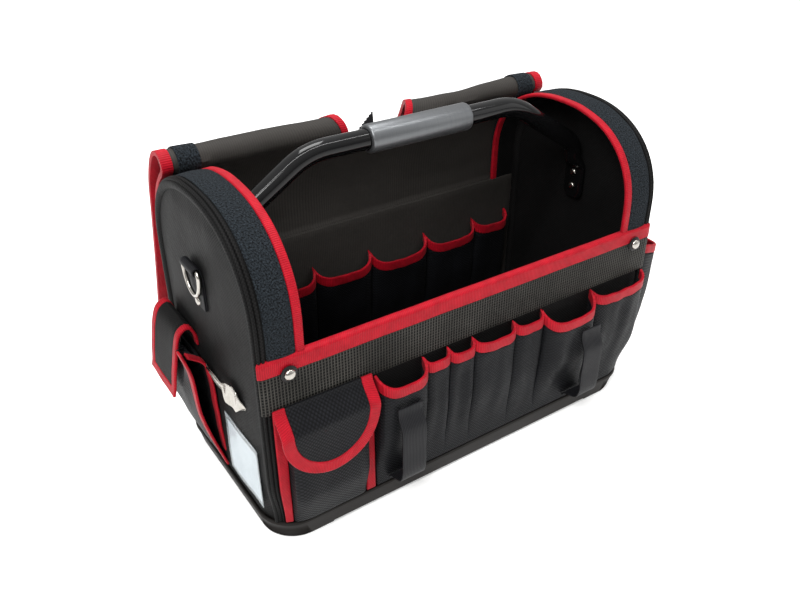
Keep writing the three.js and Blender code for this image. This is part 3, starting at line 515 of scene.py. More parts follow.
def turned(profile, axis, place, steps=28):  # a turned part from radius and height pairs, along an axis
    bm = bmesh.new()
    points = [bm.verts.new((radius, 0, height)) for radius, height in profile]
    edges = [bm.edges.new(pair) for pair in zip(points, points[1:])]
    bmesh.ops.spin(
        bm, geom=points + edges, cent=(0, 0, 0), axis=(0, 0, 1), angle=2 * math.pi, steps=steps,
        use_merge=True,
    )
    bmesh.ops.remove_doubles(bm, verts=bm.verts, dist=0.001)
    bmesh.ops.recalc_face_normals(bm, faces=bm.faces)
    spin = Vector((0, 0, 1)).rotation_difference(Vector(axis)).to_matrix().to_4x4()
    bmesh.ops.transform(bm, matrix=Matrix.Translation(place) @ spin, verts=bm.verts)
    return bm


# Base tray

tray = {
    "lip": 3.3, "rim": 9.0, "floor": 5.5, "foot": 3.0, "bay": 30.0, "bayEnd": 22.0,
    # inset from the lip and height, from the sole up
    "walls": [
        (6.0, 0.0), (5.0, 1.0), (4.4, 3.0), (1.6, 17.0), (1.4, 18.4),
        (0.3, 19.2), (0.0, 21.0), (0.5, 22.5), (1.5, 23.0),
    ],
}


def buildTray():
    halfX, halfY = bag["halfLength"] + tray["lip"], bag["halfDepth"] + tray["lip"]
    corner = bag["corner"] + tray["lip"]
    bm = bmesh.new()
    bmesh.ops.create_grid(bm, x_segments=1, y_segments=1, size=1)
    first = tray["walls"][0][0]
    bmesh.ops.scale(bm, vec=(halfX - first, halfY - first, 1), verts=bm.verts)
    bmesh.ops.bevel(
        bm, geom=bm.verts[:], offset=corner - first, affect="VERTICES", segments=14, profile=0.5, material=-1
    )
    bmesh.ops.reverse_faces(bm, faces=bm.faces[:])
    top = bm.faces[:]
    last = first
    levels = tray["walls"][1:] + [(tray["rim"], bag["trayTop"]), (tray["rim"] + 1.5, tray["floor"])]
    for inset, height in levels:
        grown = bmesh.ops.extrude_face_region(bm, geom=top, use_keep_orig=last == first)
        top = [item for item in grown["geom"] if isinstance(item, bmesh.types.BMFace)]
        ring = [item for item in grown["geom"] if isinstance(item, bmesh.types.BMVert)]
        stretch = ((halfX - inset) / (halfX - last), (halfY - inset) / (halfY - last), 1)
        bmesh.ops.scale(bm, vec=stretch, verts=ring)
        for vert in ring:
            vert.co.z = height
        last = inset
    bmesh.ops.recalc_face_normals(bm, faces=bm.faces)
    piece = finishPiece(bm, "baseTray", "base", ["base_tray"])
    bayX, bayY = halfX - corner - tray["bayEnd"], halfY - corner - tray["bayEnd"]
    bays = bmesh.new()
    for x, y, wide, deep in [
        (0, halfY, bayX, tray["bay"]), (0, -halfY, bayX, tray["bay"]),
        (halfX, 0, tray["bay"], bayY), (-halfX, 0, tray["bay"], bayY),
    ]:
        shape = Matrix.Translation((x, y, 0)) @ Matrix.Diagonal((2 * wide, 2 * deep, 2 * tray["foot"], 1))
        bmesh.ops.create_cube(bays, size=1, matrix=shape)
    bmesh.ops.scale(bays, vec=(mm, mm, mm), verts=bays.verts)
    cutterMesh = bpy.data.meshes.new("bays")
    bays.to_mesh(cutterMesh)
    bays.free()
    cutter = bpy.data.objects.new("bays", cutterMesh)
    bpy.context.scene.collection.objects.link(cutter)
    cut = piece.modifiers.new("bays", "BOOLEAN")
    cut.operation, cut.solver, cut.object = "DIFFERENCE", "EXACT", cutter
    rounder = piece.modifiers.new("edge", "BEVEL")
    rounder.width, rounder.segments, rounder.limit_method = 0.5 * mm, 2, "ANGLE"
    made = bpy.data.meshes.new_from_object(piece.evaluated_get(bpy.context.evaluated_depsgraph_get()))
    piece.modifiers.clear()
    piece.data = made
    bpy.data.objects.remove(cutter)
    made.set_sharp_from_angle(angle=math.radians(38))
    print("tray done")


# End panels, welts and hoods

ends = {
    "panelInset": 9.6, "wall": 4.0, "crown": 1.8, "weltRadius": 5.2, "weltX": bag["halfLength"] - 3.0,
    "hoodWall": 3.0, "hoodInner": bag["halfLength"] - 40.0, "hoodReach": 1.2, "hoodDrop": 5.0,
    "middle": 150.0, "binding": 8.0, "bindingThick": 4.0, "crease": 0.9, "seam": 0.5,
    # place and size, in y and z, of the part that the handle's rivets hold flat
    "heldAt": (4.0, 220.0), "heldSize": (26.0, 36.0),
    # a welt is two rolls side by side: depth and angle of the groove between them, depth of the grooves
    # beside it and their angle from it, and how far all three lean
    "groove": 2.2, "grooveAngle": 0.13, "sideGroove": 1.3, "sideAt": 0.78, "lean": 0.15,
}


# how far an end's cloth stands out: it lies flat where the handle is riveted
def panelPuff(side, y, z, edgeShare=1.0):
    (heldY, heldZ), (wide, high) = ends["heldAt"], ends["heldSize"]
    held = math.exp(-(((y - heldY) / wide) ** 2 + ((z - heldZ) / high) ** 2))
    puff = ends["crown"] * edgeShare
    folds = ends["crease"] * edgeShare * (ripple(y, z * 0.35, 26, side) + 0.6 * ripple(y, z, 55, side + 5))
    return (puff + folds) * (1 - held)


def panelPlace(side):
    inset, top = ends["panelInset"], bag["archTop"] - ends["panelInset"]
    half = bag["halfDepth"] - inset
    spring, power = bag["archSpring"], bag["archPower"]

    def place(across, up):
        # rows crowd towards the crown of the arch, where it narrows quickly
        z = lerp(bag["base"], top - 0.4, math.sin(up * math.pi / 2) ** 0.9)
        high = min(max((z - spring) / (top - spring), 0.0), 1.0)
        wide = half * (1 - high ** power) ** (1 / power)
        y = across * wide
        foot = 1 - ease(z, bag["base"], bag["base"] + 25)
        edgeShare = 1 - max(abs(across) ** 3, ease(z, top - 30, top) ** 2, foot)
        x = bag["halfLength"] - ends["wall"] / 2 + panelPuff(side, y, z, edgeShare)
        return tucked(Vector((side * x, y, z)))

    return place


def buildEnds():
    for side, name in ((-1, "left"), (1, "right")):
        place = panelPlace(side)
        bm = clothGrid((-1, 1), (0, 1), (1 / 22, 1 / 44), place)
        uv = bm.loops.layers.uv["cloth"]
        for face in bm.faces:
            for loop in face.loops:
                loop[uv].uv = (loop.vert.co.y * mm, loop.vert.co.z * mm)
        panel = finishPiece(
            bm, "endPanel." + name, "body", ["end_panel_" + name], thick=ends["wall"], edge=1.2, smooth=1
        )

        radius = ends["weltRadius"] + ends["seam"]  # pressed a little into the panel and the walls it joins
        line = archRoute(ends["weltRadius"], bag["base"], bag["base"])
        route = makeRoute([Vector((side * ends["weltX"], p.x, p.y)) for p in line["points"]])
        sideways = Vector((1, 0, 0))
        groove = math.pi - side * ends["lean"]

        def weltSection(distance, angle):
            away = (angle - groove + math.pi) % (2 * math.pi) - math.pi
            between = ends["groove"] * math.exp(-(away / ends["grooveAngle"]) ** 2)
            beside = ends["sideGroove"] * math.exp(-((abs(away) - ends["sideAt"]) / ends["grooveAngle"]) ** 2)
            here = radius - between - beside
            return here * math.cos(angle), here * math.sin(angle)

        bm = tubeGrid(route, sideways, 60, weltSection, step=7)
        for vert in bm.verts:
            vert.co = tucked(vert.co)
        welt = finishPiece(bm, "edgeWelt." + name, "body", ["edge_welt_" + name], sharp=60)

        frontFoot, backFoot = bag["frontTop"] + bag["clear"], bag["backTop"] - ends["hoodDrop"]
        line = archRoute(ends["hoodWall"] / 2, frontFoot, backFoot)
        start = bag["wallHalf"] + ends["hoodReach"]
        width = start - (ends["hoodInner"] + ends["binding"]) - bag["clear"]

        def hoodPlace(across, distance):
            point, along = onRoute(line, distance)
            crown = 0.9 * math.sin(math.pi * across / width) + 0.5 * ripple(across, distance, 22, side + 2)
            out = Vector((-along.y, along.x)) * crown
            return Vector((side * (start - across), point.x + out.x, point.y + out.y))

        bm = clothGrid((0, width), (0, line["length"]), (3, 4), hoodPlace)
        hood = finishPiece(bm, "hood." + name, "pile", ["hood_" + name], thick=ends["hoodWall"], edge=0.8)
        hood.data.materials.append(materials["body"])  # plain cloth on the inside
        for polygon in hood.data.polygons:
            height = polygon.center.z - ends["middle"] * mm
            polygon.material_index = int(polygon.center.y * polygon.normal.y + height * polygon.normal.z < 0)

        def tapePlace(across, distance):
            point, along = onRoute(line, distance)
            sway = 0.5 * ripple(across * 0.3, distance, 30, side + 9)
            out = Vector((-along.y, along.x)) * sway
            x = ends["hoodInner"] + ends["binding"] - across
            return Vector((side * x, point.x + out.x, point.y + out.y))

        bm = clothGrid((0, ends["binding"]), (0, line["length"]), (2, 4), tapePlace)
        finishPiece(
            bm, "hoodTape." + name, "tape", ["hood_binding_" + name], thick=ends["bindingThick"], edge=1.5,
            sharp=60,
        )
    print("ends done")


# Front and back walls, mesh band and the front's top tape

front = {
    "wall": 4.0, "tapeHeight": 11.8, "tapeThick": 3.0, "bandLow": 154.0, "net": 1.8, "lining": 1.5,
    "rivetX": 197.0, "rivetZ": 189.0, "washerOut": 3.6, "crest": 2.0, "drop": 11.0, "over": 9.0,
    # half turns from +x at which the front's line leaves the left welt
    "cornerFrom": 1.22,
}


def frontRoute(offset):  # plan line of the front, up to the outermost stitches of the welt at both corners
    radius = ends["weltRadius"] + offset
    centreY = -(bag["halfDepth"] - ends["weltRadius"])
    arc = []
    for angle in spread(front["cornerFrom"] * math.pi, 1.5 * math.pi, 7):
        arc.append((-ends["weltX"] + radius * math.cos(angle), centreY + radius * math.sin(angle)))
    return makeRoute(arc + [(-x, y) for x, y in reversed(arc)])


def buildWalls():
    half = bag["wallHalf"]
    for name, y, top, seed in (
        ("front_wall", -(bag["halfDepth"] - front["wall"] / 2), bag["frontTop"] - 0.6, 3),
        ("back_wall", bag["halfDepth"] - front["wall"] / 2, bag["backTop"] - 0.6, 4),
    ):
        def wallPlace(x, z):
            inner = ease(half - abs(x), 0, 25) * ease(z, bag["base"], bag["base"] + 20)
            inner *= ease(top - z, 0, 20)
            sway = 0.9 * inner * ripple(x, z, 60, seed)
            return tucked(Vector((x, y + sway, z)))

        bm = clothGrid((-half, half), (bag["base"], top), (9, 8), wallPlace)
        finish = "body" if name == "front_wall" else "lining"
        piece = finishPiece(bm, name.replace("_w", "W"), finish, [name], thick=front["wall"], edge=0.9)

    route = frontRoute(bag["clear"] + front["net"] / 2)
    low, high = front["bandLow"], bag["frontTop"] - front["tapeHeight"] - bag["clear"]

    def bandPlace(distance, z):
        point, _ = onRoute(route, distance)
        inner = ease(distance, 0, 40) * ease(route["length"] - distance, 0, 40)
        sway = -0.5 * abs(ripple(distance, z * 0.4, 34, 6)) * inner
        return Vector((point.x, point.y + sway, z))

    bm = clothGrid((0, route["length"]), (low, high), (3.2, 5), bandPlace)
    band = finishPiece(bm, "meshBand", "net", ["mesh_band"], thick=front["net"], edge=0.5)

    # the tape goes up the front, over the top edge and down the inside
    inner = frontRoute(-(front["wall"] + 0.6) - front["lining"] / 2)
    outer = frontRoute(bag["clear"] + front["tapeThick"] / 2)

    def tapePlace(distance, around):
        share = distance / outer["length"]
        a, _ = onRoute(outer, distance)
        b, _ = onRoute(inner, share * inner["length"])
        if around <= front["tapeHeight"]:
            place = a
            z = bag["frontTop"] - front["tapeHeight"] + around
        else:
            over = (around - front["tapeHeight"]) / front["over"]
            if over <= 1:
                place = a.lerp(b, 0.5 - 0.5 * math.cos(math.pi * over))
                z = bag["frontTop"] + front["crest"] * math.sin(math.pi * over)
            else:
                place = b
                z = bag["frontTop"] - front["drop"] * (over - 1)
        sway = 0.35 * ripple(distance, around, 40, 8)
        return Vector((place.x, place.y + sway, z + 0.4 * ripple(distance, 0, 70, 9)))

    tall = front["tapeHeight"] + 2 * front["over"]
    bm = clothGrid((0, outer["length"]), (0, tall), (3.4, 1.5), tapePlace)
    turnCloth(bm)
    tape = finishPiece(
        bm, "frontTopTape", "tape", ["front_top_binding"], thick=front["lining"], edge=0.4, sharp=60
    )

    washer = [(2.2, 0), (7.5, 0), (7.5, 0.5), (6.9, 1.1), (5.6, 1.3), (2.2, 1.3), (2.2, 0)]
    head = [
        (0, -6), (1.8, -6), (1.8, 1.4), (5.1, 1.4), (5.2, 2.0),
        (4.8, 2.9), (3.9, 3.8), (2.5, 4.5), (1.0, 4.8), (0, 4.8),
    ]
    seat = -(bag["halfDepth"] + front["washerOut"])
    for side, name in ((-1, "left"), (1, "right")):
        place = Vector((side * front["rivetX"], seat, front["rivetZ"]))
        disc = turned(washer, (0, -1, 0), place)
        finishPiece(disc, "frontWasher." + name, "washer", ["front_washer_" + name])
        rivet = turned(head, (0, -1, 0), place)
        finishPiece(rivet, "frontRivet." + name, "nickel", ["front_rivet_" + name])
    print("walls done")


# Rows of open pockets

pockets = {
    "foot": 25.0, "top": 152.0, "tape": 10.0, "tapeThick": 2.6, "cloth": 1.8, "left": -116.5,
    # right-hand seam as a share of half the length, depth of the bulge, sag of the lip
    "row": [
        (-0.3, 17, 9), (-0.175, 8, 5), (-0.045, 9, 6), (0.18, 11, 6),
        (0.345, 9, 5), (0.65, 18, 14), (0.99, 12, 7),
    ],
}
insidePockets = {
    "foot": 25.0, "top": 150.0, "tape": 10.0, "tapeThick": 2.6, "cloth": 1.8, "left": -200.0,
    "row": [(-0.62, 13, 9), (-0.3, 16, 12), (0.02, 15, 12), (0.36, 17, 14), (0.68, 16, 13), (0.91, 13, 9)],
}


# a pocket's depth and sag at a place, the share of them there (0 at a seam) and the place across it, -1 to 1
def rowAt(spec, x):
    left = spec["left"]
    for seam, depth, sag in spec["row"]:
        right = seam * bag["halfLength"]
        if x <= right + 1e-6 or seam == spec["row"][-1][0]:
            across = min(max(2 * (x - left) / (right - left) - 1, -1), 1)
            return depth, sag, (1 - abs(across) ** 4) ** 0.5, across
        left = right


def swell(rise):
    return ease(rise, 0, 0.62) * (0.82 + 0.18 * rise)


def buildRow(spec, face, out, names, nodes, seed):
    seams = [spec["left"]] + [seam * bag["halfLength"] for seam, _, _ in spec["row"]]
    stand = bag["clear"] + 1.5

    def lift(x, z, high, depth, share, across):
        rise = (z - spec["foot"]) / (high - spec["foot"])
        bulge = depth * share * swell(rise)
        # loose cloth: a soft dent low in each pocket and uprights that wander
        loose = ease(rise, 0.05, 0.4) * (1 - ease(rise, 0.75, 1.0))
        folds = 2.4 * ripple(x, z * 0.16, 13, seed) + 1.2 * ripple(x + 0.4 * z, z * 0.5, 22, seed + 4)
        bulge += share * loose * (folds - 0.18 * depth * (1 - abs(across)))
        return face + out * (stand + max(bulge, 0))

    tall = spec["top"] - spec["foot"] - spec["tape"]

    def place(x, up):
        depth, sag, share, across = rowAt(spec, x)
        high = spec["top"] - sag * share
        z = spec["foot"] + (high - spec["tape"] - 0.6 - spec["foot"]) * (up / tall)
        return tucked(Vector((x, lift(x, z, high, depth, share, across), z)))

    lines = []
    for left, right in zip(seams, seams[1:]):
        lines += [lerp(left, right, share) for share in (0.0, 0.012, 0.03, 0.06, 0.94, 0.97, 0.988, 1.0)]
    bm = clothGrid((seams[0], seams[-1]), (0, tall), (3.4, 5), place, lines=(lines, ()))
    body = finishPiece(bm, names[0], "pocket", nodes[:-1], thick=spec["cloth"], edge=0.5)

    def lipPlace(x, up):
        depth, sag, share, across = rowAt(spec, x)
        high = spec["top"] - sag * share
        z = high - spec["tape"] + up
        sway = 1.3 * ripple(x, 0, 13, seed + 1) * (0.35 + 0.65 * share)
        return Vector((x, lift(x, z, high, depth, share, across), z + sway))

    bm = clothGrid((seams[0], seams[-1]), (0, spec["tape"]), (3.0, 2), lipPlace, lines=(lines, ()))
    turnCloth(bm)
    finishPiece(
        bm, names[1], "tape", nodes[-1:], thick=spec["tapeThick"], edge=0.9, sharp=60,
    )


def buildPockets():
    buildRow(
        pockets, -bag["halfDepth"], -1, ("frontPockets", "frontPocketTape", "frontWall"),
        ("front_pocket_row", "front_pocket_binding"), 11,
    )
    buildRow(
        insidePockets, bag["halfDepth"] - front["wall"], -1,
        ("insidePockets", "insidePocketTape", "backWall"),
        (*(f"inside_pocket_cloth_{i}" for i in range(1, 7)), "inside_pocket_binding"), 17,
    )
    print("pockets done")


# Two webbing straps that stand off the front pockets

straps = {
    "width": 26.0, "thick": 1.6, "standOff": 27.0, "top": 121.0, "foot": 31.0,
    "centres": {"left": -92.0, "right": 130.0},
}


def buildStraps():
    for name, centre in straps["centres"].items():
        bulges = []
        for x in (centre - straps["width"] / 2, centre, centre + straps["width"] / 2):
            depth, _, share, _ = rowAt(pockets, x)
            bulges.append(depth * share)

        def surface(z):
            rise = (z - pockets["foot"]) / (pockets["top"] - pockets["foot"])
            return bag["halfDepth"] + 4.0 + max(bulges) * swell(rise)

        outer = bag["halfDepth"] + straps["standOff"]
        top, foot = straps["top"], straps["foot"]
        line = smoothRoute([
            (surface(top), top), (surface(top - 8) + 0.6, top - 8), (outer - 3.5, top - 14),
            (outer, top - 22), (outer + 0.3, 72), (outer, foot + 17), (outer - 4, foot + 9),
            (surface(foot + 5) + 3, foot + 4), (surface(foot), foot),
        ], 5)

        def place(across, distance):
            point, _ = onRoute(line, distance)
            sway = 0.5 * ripple(across, distance, 25, centre)
            return Vector((centre + across, -(point.x + sway), point.y))

        half = straps["width"] / 2
        bm = clothGrid((-half, half), (0, line["length"]), (4, 2.5), place)
        piece = finishPiece(
            bm, "levelStrap." + name, "webbing", ["level_strap_" + name], thick=straps["thick"], edge=0.4
        )
    print("straps done")


# Flap pocket

pouch = {
    "left": -214.0, "right": -118.6, "tape": 9.5, "depth": 12.5, "top": 139.0,
    "flapTop": 158.0, "flapBottom": 86.0, "flapWidth": 94.0, "binding": 11.0, "standOff": 3.0,
    "leftRise": 14.0,  # how far the left tape runs on above the pocket
    # share of the flap's height above its round foot, and share of its box that is cloth
    "shoulder": 0.32, "areaShare": 0.62,
}


def buildPouch():
    side = 1.4
    left, right = pouch["left"] + pouch["tape"] + side, pouch["right"] - pouch["tape"] - side
    width, tall = right - left, pouch["top"] - pockets["foot"]
    stand = bag["clear"] + 1.5

    def bodyPlace(x, up):
        across = 2 * x / width - 1
        rise = up / tall
        share = (1 - abs(across) ** 9) ** 0.5
        opening = ease(rise, -0.1, 0.35)
        sag = 1.5 * ripple(x, up, 30, 21) * share * (1 - ease(rise, 0.8, 1))
        # the gusset at each side folds in a little behind the front
        out = stand + pouch["depth"] * share * opening + sag * opening
        pleat = 2.2 * math.copysign(ease(abs(across), 0.82, 0.95) * (1 - ease(abs(across), 0.95, 1)), across)
        return tucked(Vector((left + x + pleat * opening, -(bag["halfDepth"] + out), pockets["foot"] + up)))

    bm = clothGrid((0, width), (0, tall), (2.6, 4), bodyPlace)
    piece = finishPiece(bm, "flapPocket", "pocket", ["flap_pocket_body"], thick=1.8, edge=0.5)

    for name, x in (("left", pouch["left"]), ("right", pouch["right"] - pouch["tape"])):
        top = pouch["top"] + (pouch["leftRise"] if name == "left" else 0)

        def tapePlace(across, up):
            sway = 0.4 * ripple(across * 0.2, up, 26, x)
            return tucked(Vector((x + across, -(bag["halfDepth"] + stand + sway), pockets["foot"] + up)))

        bm = clothGrid((0, pouch["tape"]), (0, top - pockets["foot"]), (2, 4), tapePlace)
        finishPiece(
            bm, "pouchTape." + name, "tape", ["pouch_tape_" + name], thick=2.6, edge=0.9, sharp=60,
        )

    centre = (pouch["left"] + pouch["right"]) / 2 - 1.5
    drop = pouch["flapTop"] - pouch["flapBottom"]
    shoulder = pouch["shoulder"] * drop
    half = pouch["flapWidth"] / 2

    def flapAt(x, down):
        start = bag["halfDepth"] + 2 * bag["clear"] + pockets["cloth"] + 1.5
        out = (pouch["depth"] + pouch["standOff"] - pockets["cloth"]) * ease(down, 1, 24)
        wave = ripple(x, down, 34, 31) * ease(down, 10, 30)
        curl = 0.8 * ease(down, 50, drop) * math.cos(x / half * 1.4)
        return Vector((centre + x, -(start + out + wave + curl), pouch["flapTop"] - down))

    # polar cut: rings follow the flap's rounded foot, so the tape and the cloth share their edge
    def edgeAt(turn, inset):  # 0 at the top left, 1 at the top right, round the foot
        reach = half - inset
        low = drop - shoulder - inset
        legs, arc = shoulder, math.pi * (reach + low) / 2
        total = 2 * legs + arc
        distance = turn * total
        if distance < legs:
            return -reach, distance
        if distance > legs + arc:
            return reach, total - distance
        angle = math.pi * (distance - legs) / arc
        return -reach * math.cos(angle), shoulder + low * math.sin(angle)

    around = 2 * shoulder + math.pi * (half + drop - shoulder) / 2

    def clothPlace(turn, inward):
        x, down = edgeAt(turn / around, pouch["binding"] + 0.2)
        pull = inward / 40
        return flapAt(x * (1 - pull), down if down < shoulder else lerp(down, shoulder, pull))

    bm = clothGrid((0, around), (0, 40), (3, 4), clothPlace)
    bmesh.ops.remove_doubles(bm, verts=bm.verts, dist=0.05)
    uv = bm.loops.layers.uv["cloth"]
    for face in bm.faces:
        for loop in face.loops:
            loop[uv].uv = (loop.vert.co.x * mm, loop.vert.co.z * mm)
    bmesh.ops.recalc_face_normals(bm, faces=bm.faces)
    piece = finishPiece(bm, "frontFlap", "pocket", ["front_flap"], thick=1.8)

    def bindingPlace(turn, inset):
        x, down = edgeAt(turn / around, inset)
        return flapAt(x, down)

    bm = clothGrid((0, around), (0, pouch["binding"]), (3, 2), bindingPlace)
    turnCloth(bm)
    finishPiece(
        bm, "frontFlapTape", "tape", ["front_flap_binding"], thick=2.8, edge=1.0, sharp=60,
    )
    print("flap pocket done")


# Lid thrown back over the hoods

lid = {
    "width": 436.0, "thick": 4.0, "leave": 0.75, "binding": 10.0, "hinge": 14.0,
    "strip": 20.0, "stripInset": 15.0, "stripThick": 1.5,
    "window": 118.0, "windowFrom": 0.265, "windowTo": 0.55, "windowTape": 8.0, "slant": 24.0,
    "tabFrom": -14.0, "tabTo": 5.0, "tabTall": 24.0,
    # where along the lid it rolls over the hoods, how wide that roll is and how far it sags between them
    "rollAt": 164.0, "rollWide": 26.0, "dip": 2.2,
    # y as a share of the bag's depth, z as a share of the arch's height
    "fold": [
        (0.338, 0.968), (0.345, 0.99), (0.375, 1.006), (0.42, 1.002), (0.468, 0.975), (0.51, 0.935),
        (0.55, 0.88), (0.585, 0.79), (0.63, 0.68), (0.685, 0.55), (0.745, 0.42), (0.785, 0.33),
    ],
}


def lidRoute():
    clear = 0.5 + 3 * bag["clear"] + lid["stripThick"] + lid["thick"] / 2
    rest = archRoute(-clear, bag["backTop"] + 0.3, bag["backTop"] + 0.3)["points"]
    rest = [point for point in rest if point.x > lid["leave"] * bag["halfDepth"]][::-1]
    rest = rest[::3] + rest[-1:] if (len(rest) - 1) % 3 else rest[::3]
    fold = [Vector((y * 2 * bag["halfDepth"], z * bag["archTop"])) for y, z in lid["fold"]]
    hinge = [
        Vector((bag["halfDepth"] + 1.2, bag["backTop"] - lid["hinge"])),
        Vector((bag["halfDepth"] + 1.6, bag["backTop"] - 4)),
    ]
    return smoothRoute(hinge + rest + fold, 6)


def buildLid():
    route = lidRoute()
    length, half = route["length"], lid["width"] / 2
    window = lid["window"] / 2
    run = length - lid["hinge"]
    low, high = lid["hinge"] + lid["windowFrom"] * run, lid["hinge"] + lid["windowTo"] * run

    def lidPlace(offset=0.0):
        def place(x, distance):
            point, along = onRoute(route, distance)
            loose = 1 - ease(abs(x), half - 45, half - 5)
            # the window narrows towards the hinge
            slant = lid["slant"] * (1 - ease(distance, low, low + 0.75 * (high - low)))
            x -= math.copysign(slant * math.exp(-((abs(x) - window) / 38) ** 2), x) * ease(abs(x), 0, 20)
            # slack between the ends: the cloth sags off its line and pulls into slanting folds
            layer = ease(distance, 34, 84) * (1 - ease(distance, length - 30, length))
            folds = 3.2 * ripple(x + 0.9 * distance, distance * 0.5, 75, 41)
            folds += 1.6 * ripple(x - 0.6 * distance, distance, 42, 43)
            roll = math.exp(-((distance - lid["rollAt"]) / lid["rollWide"]) ** 2)
            dip = lid["dip"] * roll * loose * (0.6 + 0.7 * ripple(x, 0, 60, 45))
            move = offset + layer * loose * folds - dip
            normal = Vector((-along.y, along.x))
            return Vector((x, point.x + normal.x * move, point.y + normal.y * move))

        return place

    edge = lid["binding"]
    bm = clothGrid(
        (-half + edge, half - edge), (0, length - edge), (6, 5), lidPlace(),
        holes=[(-window, window, low, high)],
    )
    piece = finishPiece(bm, "lidPanel", "lining", ["lid"], thick=lid["thick"] - 1.2, edge=0.6)

    bm = clothGrid(
        (-half, half), (0, length), (5, 4), lidPlace(), holes=[(-half + edge, half - edge, -1, length - edge)]
    )
    tapeThick = lid["thick"] + 0.4
    finishPiece(
        bm, "lidEdgeTape", "tape", ["lid_edge_binding"], thick=tapeThick, edge=1.3, sharp=60,
    )

    inset = lid["windowTape"]
    bm = clothGrid(
        (-window, window), (low, high), (4, 4), lidPlace(),
        holes=[(-window + inset, window - inset, low + inset, high - inset)],
    )
    finishPiece(
        bm, "windowTape", "tape", ["lid_window_binding"], thick=tapeThick, edge=1.3, sharp=60,
    )

    offset = (lid["thick"] - 1.2) / 2 + lid["stripThick"] / 2
    for side, name in ((-1, "left"), (1, "right")):
        outer, inner = half - lid["stripInset"], half - lid["stripInset"] - lid["strip"]
        across = (side * outer, side * inner) if side < 0 else (inner, outer)
        bm = clothGrid(across, (0.01 * length, 0.95 * length), (4, 4), lidPlace(offset))
        finishPiece(
            bm, "hookStrip." + name, "pile", ["hook_strip_" + name], thick=lid["stripThick"], edge=0.5,
        )

    # end of a folded strap that stands up from the window's near edge, cut to a point
    tabFoot = lidPlace()(lid["tabFrom"], low + 3)

    def tabPlace(x, up):
        lean = 0.35 * (x - lid["tabFrom"])
        return Vector((x, tabFoot.y - 3.5 + 0.12 * up, tabFoot.z - 8 + up + lean))

    def belowPoint(at):
        return at.y < 14 + 0.55 * (at.x - lid["tabFrom"])

    bm = clothGrid((lid["tabFrom"], lid["tabTo"]), (0, lid["tabTall"]), (1.5, 1.5), tabPlace, keep=belowPoint)
    tab = finishPiece(bm, "lidStrapEnd", "webbing", thick=1.8, edge=0.3)
    print("lid done")


# Handle

handle = {
    "height": 320.0, "radius": 9.5, "flat": 115.0, "bend": 19.0, "shoulder": 262.0, "shoulderBend": 14.0,
    "plateThick": 5.0, "plateWide": 26.0, "plateLow": 199.0, "plateTop": 235.0,
    "grip": 111.0, "gripCentre": 0.5, "gripRadius": 13.0, "rivets": {"upper": 228.0, "lower": 212.0},
}


def bendBetween(corner, before, after, reach, steps=9):  # round bend between two straight legs
    start, end = corner + before * reach, corner + after * reach
    line = []
    for share in spread(0, 1, steps):
        line.append(start * (1 - share) ** 2 + corner * 2 * share * (1 - share) + end * share ** 2)
    return line


def buildHandle():
    seat = bag["halfLength"] - ends["wall"] - bag["clear"]
    roundFrom = handle["shoulder"] - handle["shoulderBend"]
    shoulder = Vector((seat - handle["radius"] - 0.3, 0, handle["shoulder"]))
    top = Vector((handle["flat"], 0, handle["height"]))
    slope = (shoulder - top).normalized()

    def rounding(z):
        return ease(z, handle["plateTop"], roundFrom)

    def thickAt(z):
        return lerp(handle["plateThick"] / 2, handle["radius"], rounding(z))

    half = []
    for z in spread(handle["plateLow"], roundFrom, 24)[:-1]:
        half.append(Vector((seat - thickAt(z) - 0.3 * rounding(z), 0, z)))
    half += bendBetween(shoulder, Vector((0, 0, -1)), -slope, handle["shoulderBend"])
    half += bendBetween(top, slope, Vector((-1, 0, 0)), handle["bend"])
    route = makeRoute(half + [Vector((-p.x, 0, p.z)) for p in reversed(half)])

    def section(distance, angle):
        point, _ = onRoute(route, distance)
        share = rounding(point.z)
        power = lerp(0.35, 1.0, share)
        wide = lerp(handle["plateWide"] / 2, handle["radius"], share)
        end = min(distance, route["length"] - distance)
        if end < 9:  # rounded ends of the flat plates
            wide *= 0.65 + 0.35 * math.sqrt(max(1 - (1 - end / 9) ** 2, 0))
        c, s = math.cos(angle), math.sin(angle)
        return thickAt(point.z) * math.copysign(abs(c) ** power, c), wide * math.copysign(abs(s) ** power, s)

    bm = tubeGrid(route, Vector((0, 1, 0)), 24, section, step=3)
    finishPiece(bm, "handleTube", "enamel", ["handle_tube"], sharp=50)

    inside, radius, end = handle["radius"] + 0.15, handle["gripRadius"], handle["grip"] / 2
    profile = [
        (inside, -end), (radius - 2.2, -end), (radius - 1.0, -end + 0.3), (radius - 0.3, -end + 1.0),
        (radius, -end + 2.0), (radius, 0), (radius, end - 2.0), (radius - 0.3, end - 1.0),
        (radius - 1.0, end - 0.3), (radius - 2.2, end), (inside, end), (inside, -end),
    ]
    grip = turned(profile, (1, 0, 0), Vector((handle["gripCentre"], 0, handle["height"])), 40)
    finishPiece(grip, "handleGrip", "sleeve", ["handle_grip"])

    head = [(0, -5), (1.8, -5), (1.8, 0), (4.2, 0), (4.1, 0.8), (3.5, 1.6), (2.6, 2.1), (1.4, 2.4), (0, 2.6)]
    face = seat - handle["plateThick"] - 0.3
    for side, name in ((-1, "left"), (1, "right")):
        for place, z in handle["rivets"].items():
            bm = turned(head, (-side, 0, 0), Vector((side * face, 0, z)), 20)
            finishPiece(bm, f"handleRivet.{name}.{place}", "nickel", [f"handle_rivet_{name}_{place}"])
    print("handle done")


# Shoulder strap rings

rings = {
    "wire": 2.0, "bar": 34.0, "drop": 27.0, "corner": 3.0, "y": 7.0, "z": 242.0, "barOut": 6.1,
    "tab": 27.0, "foot": 203.0, "rivetZ": 208.0, "fold": 3.0,
}


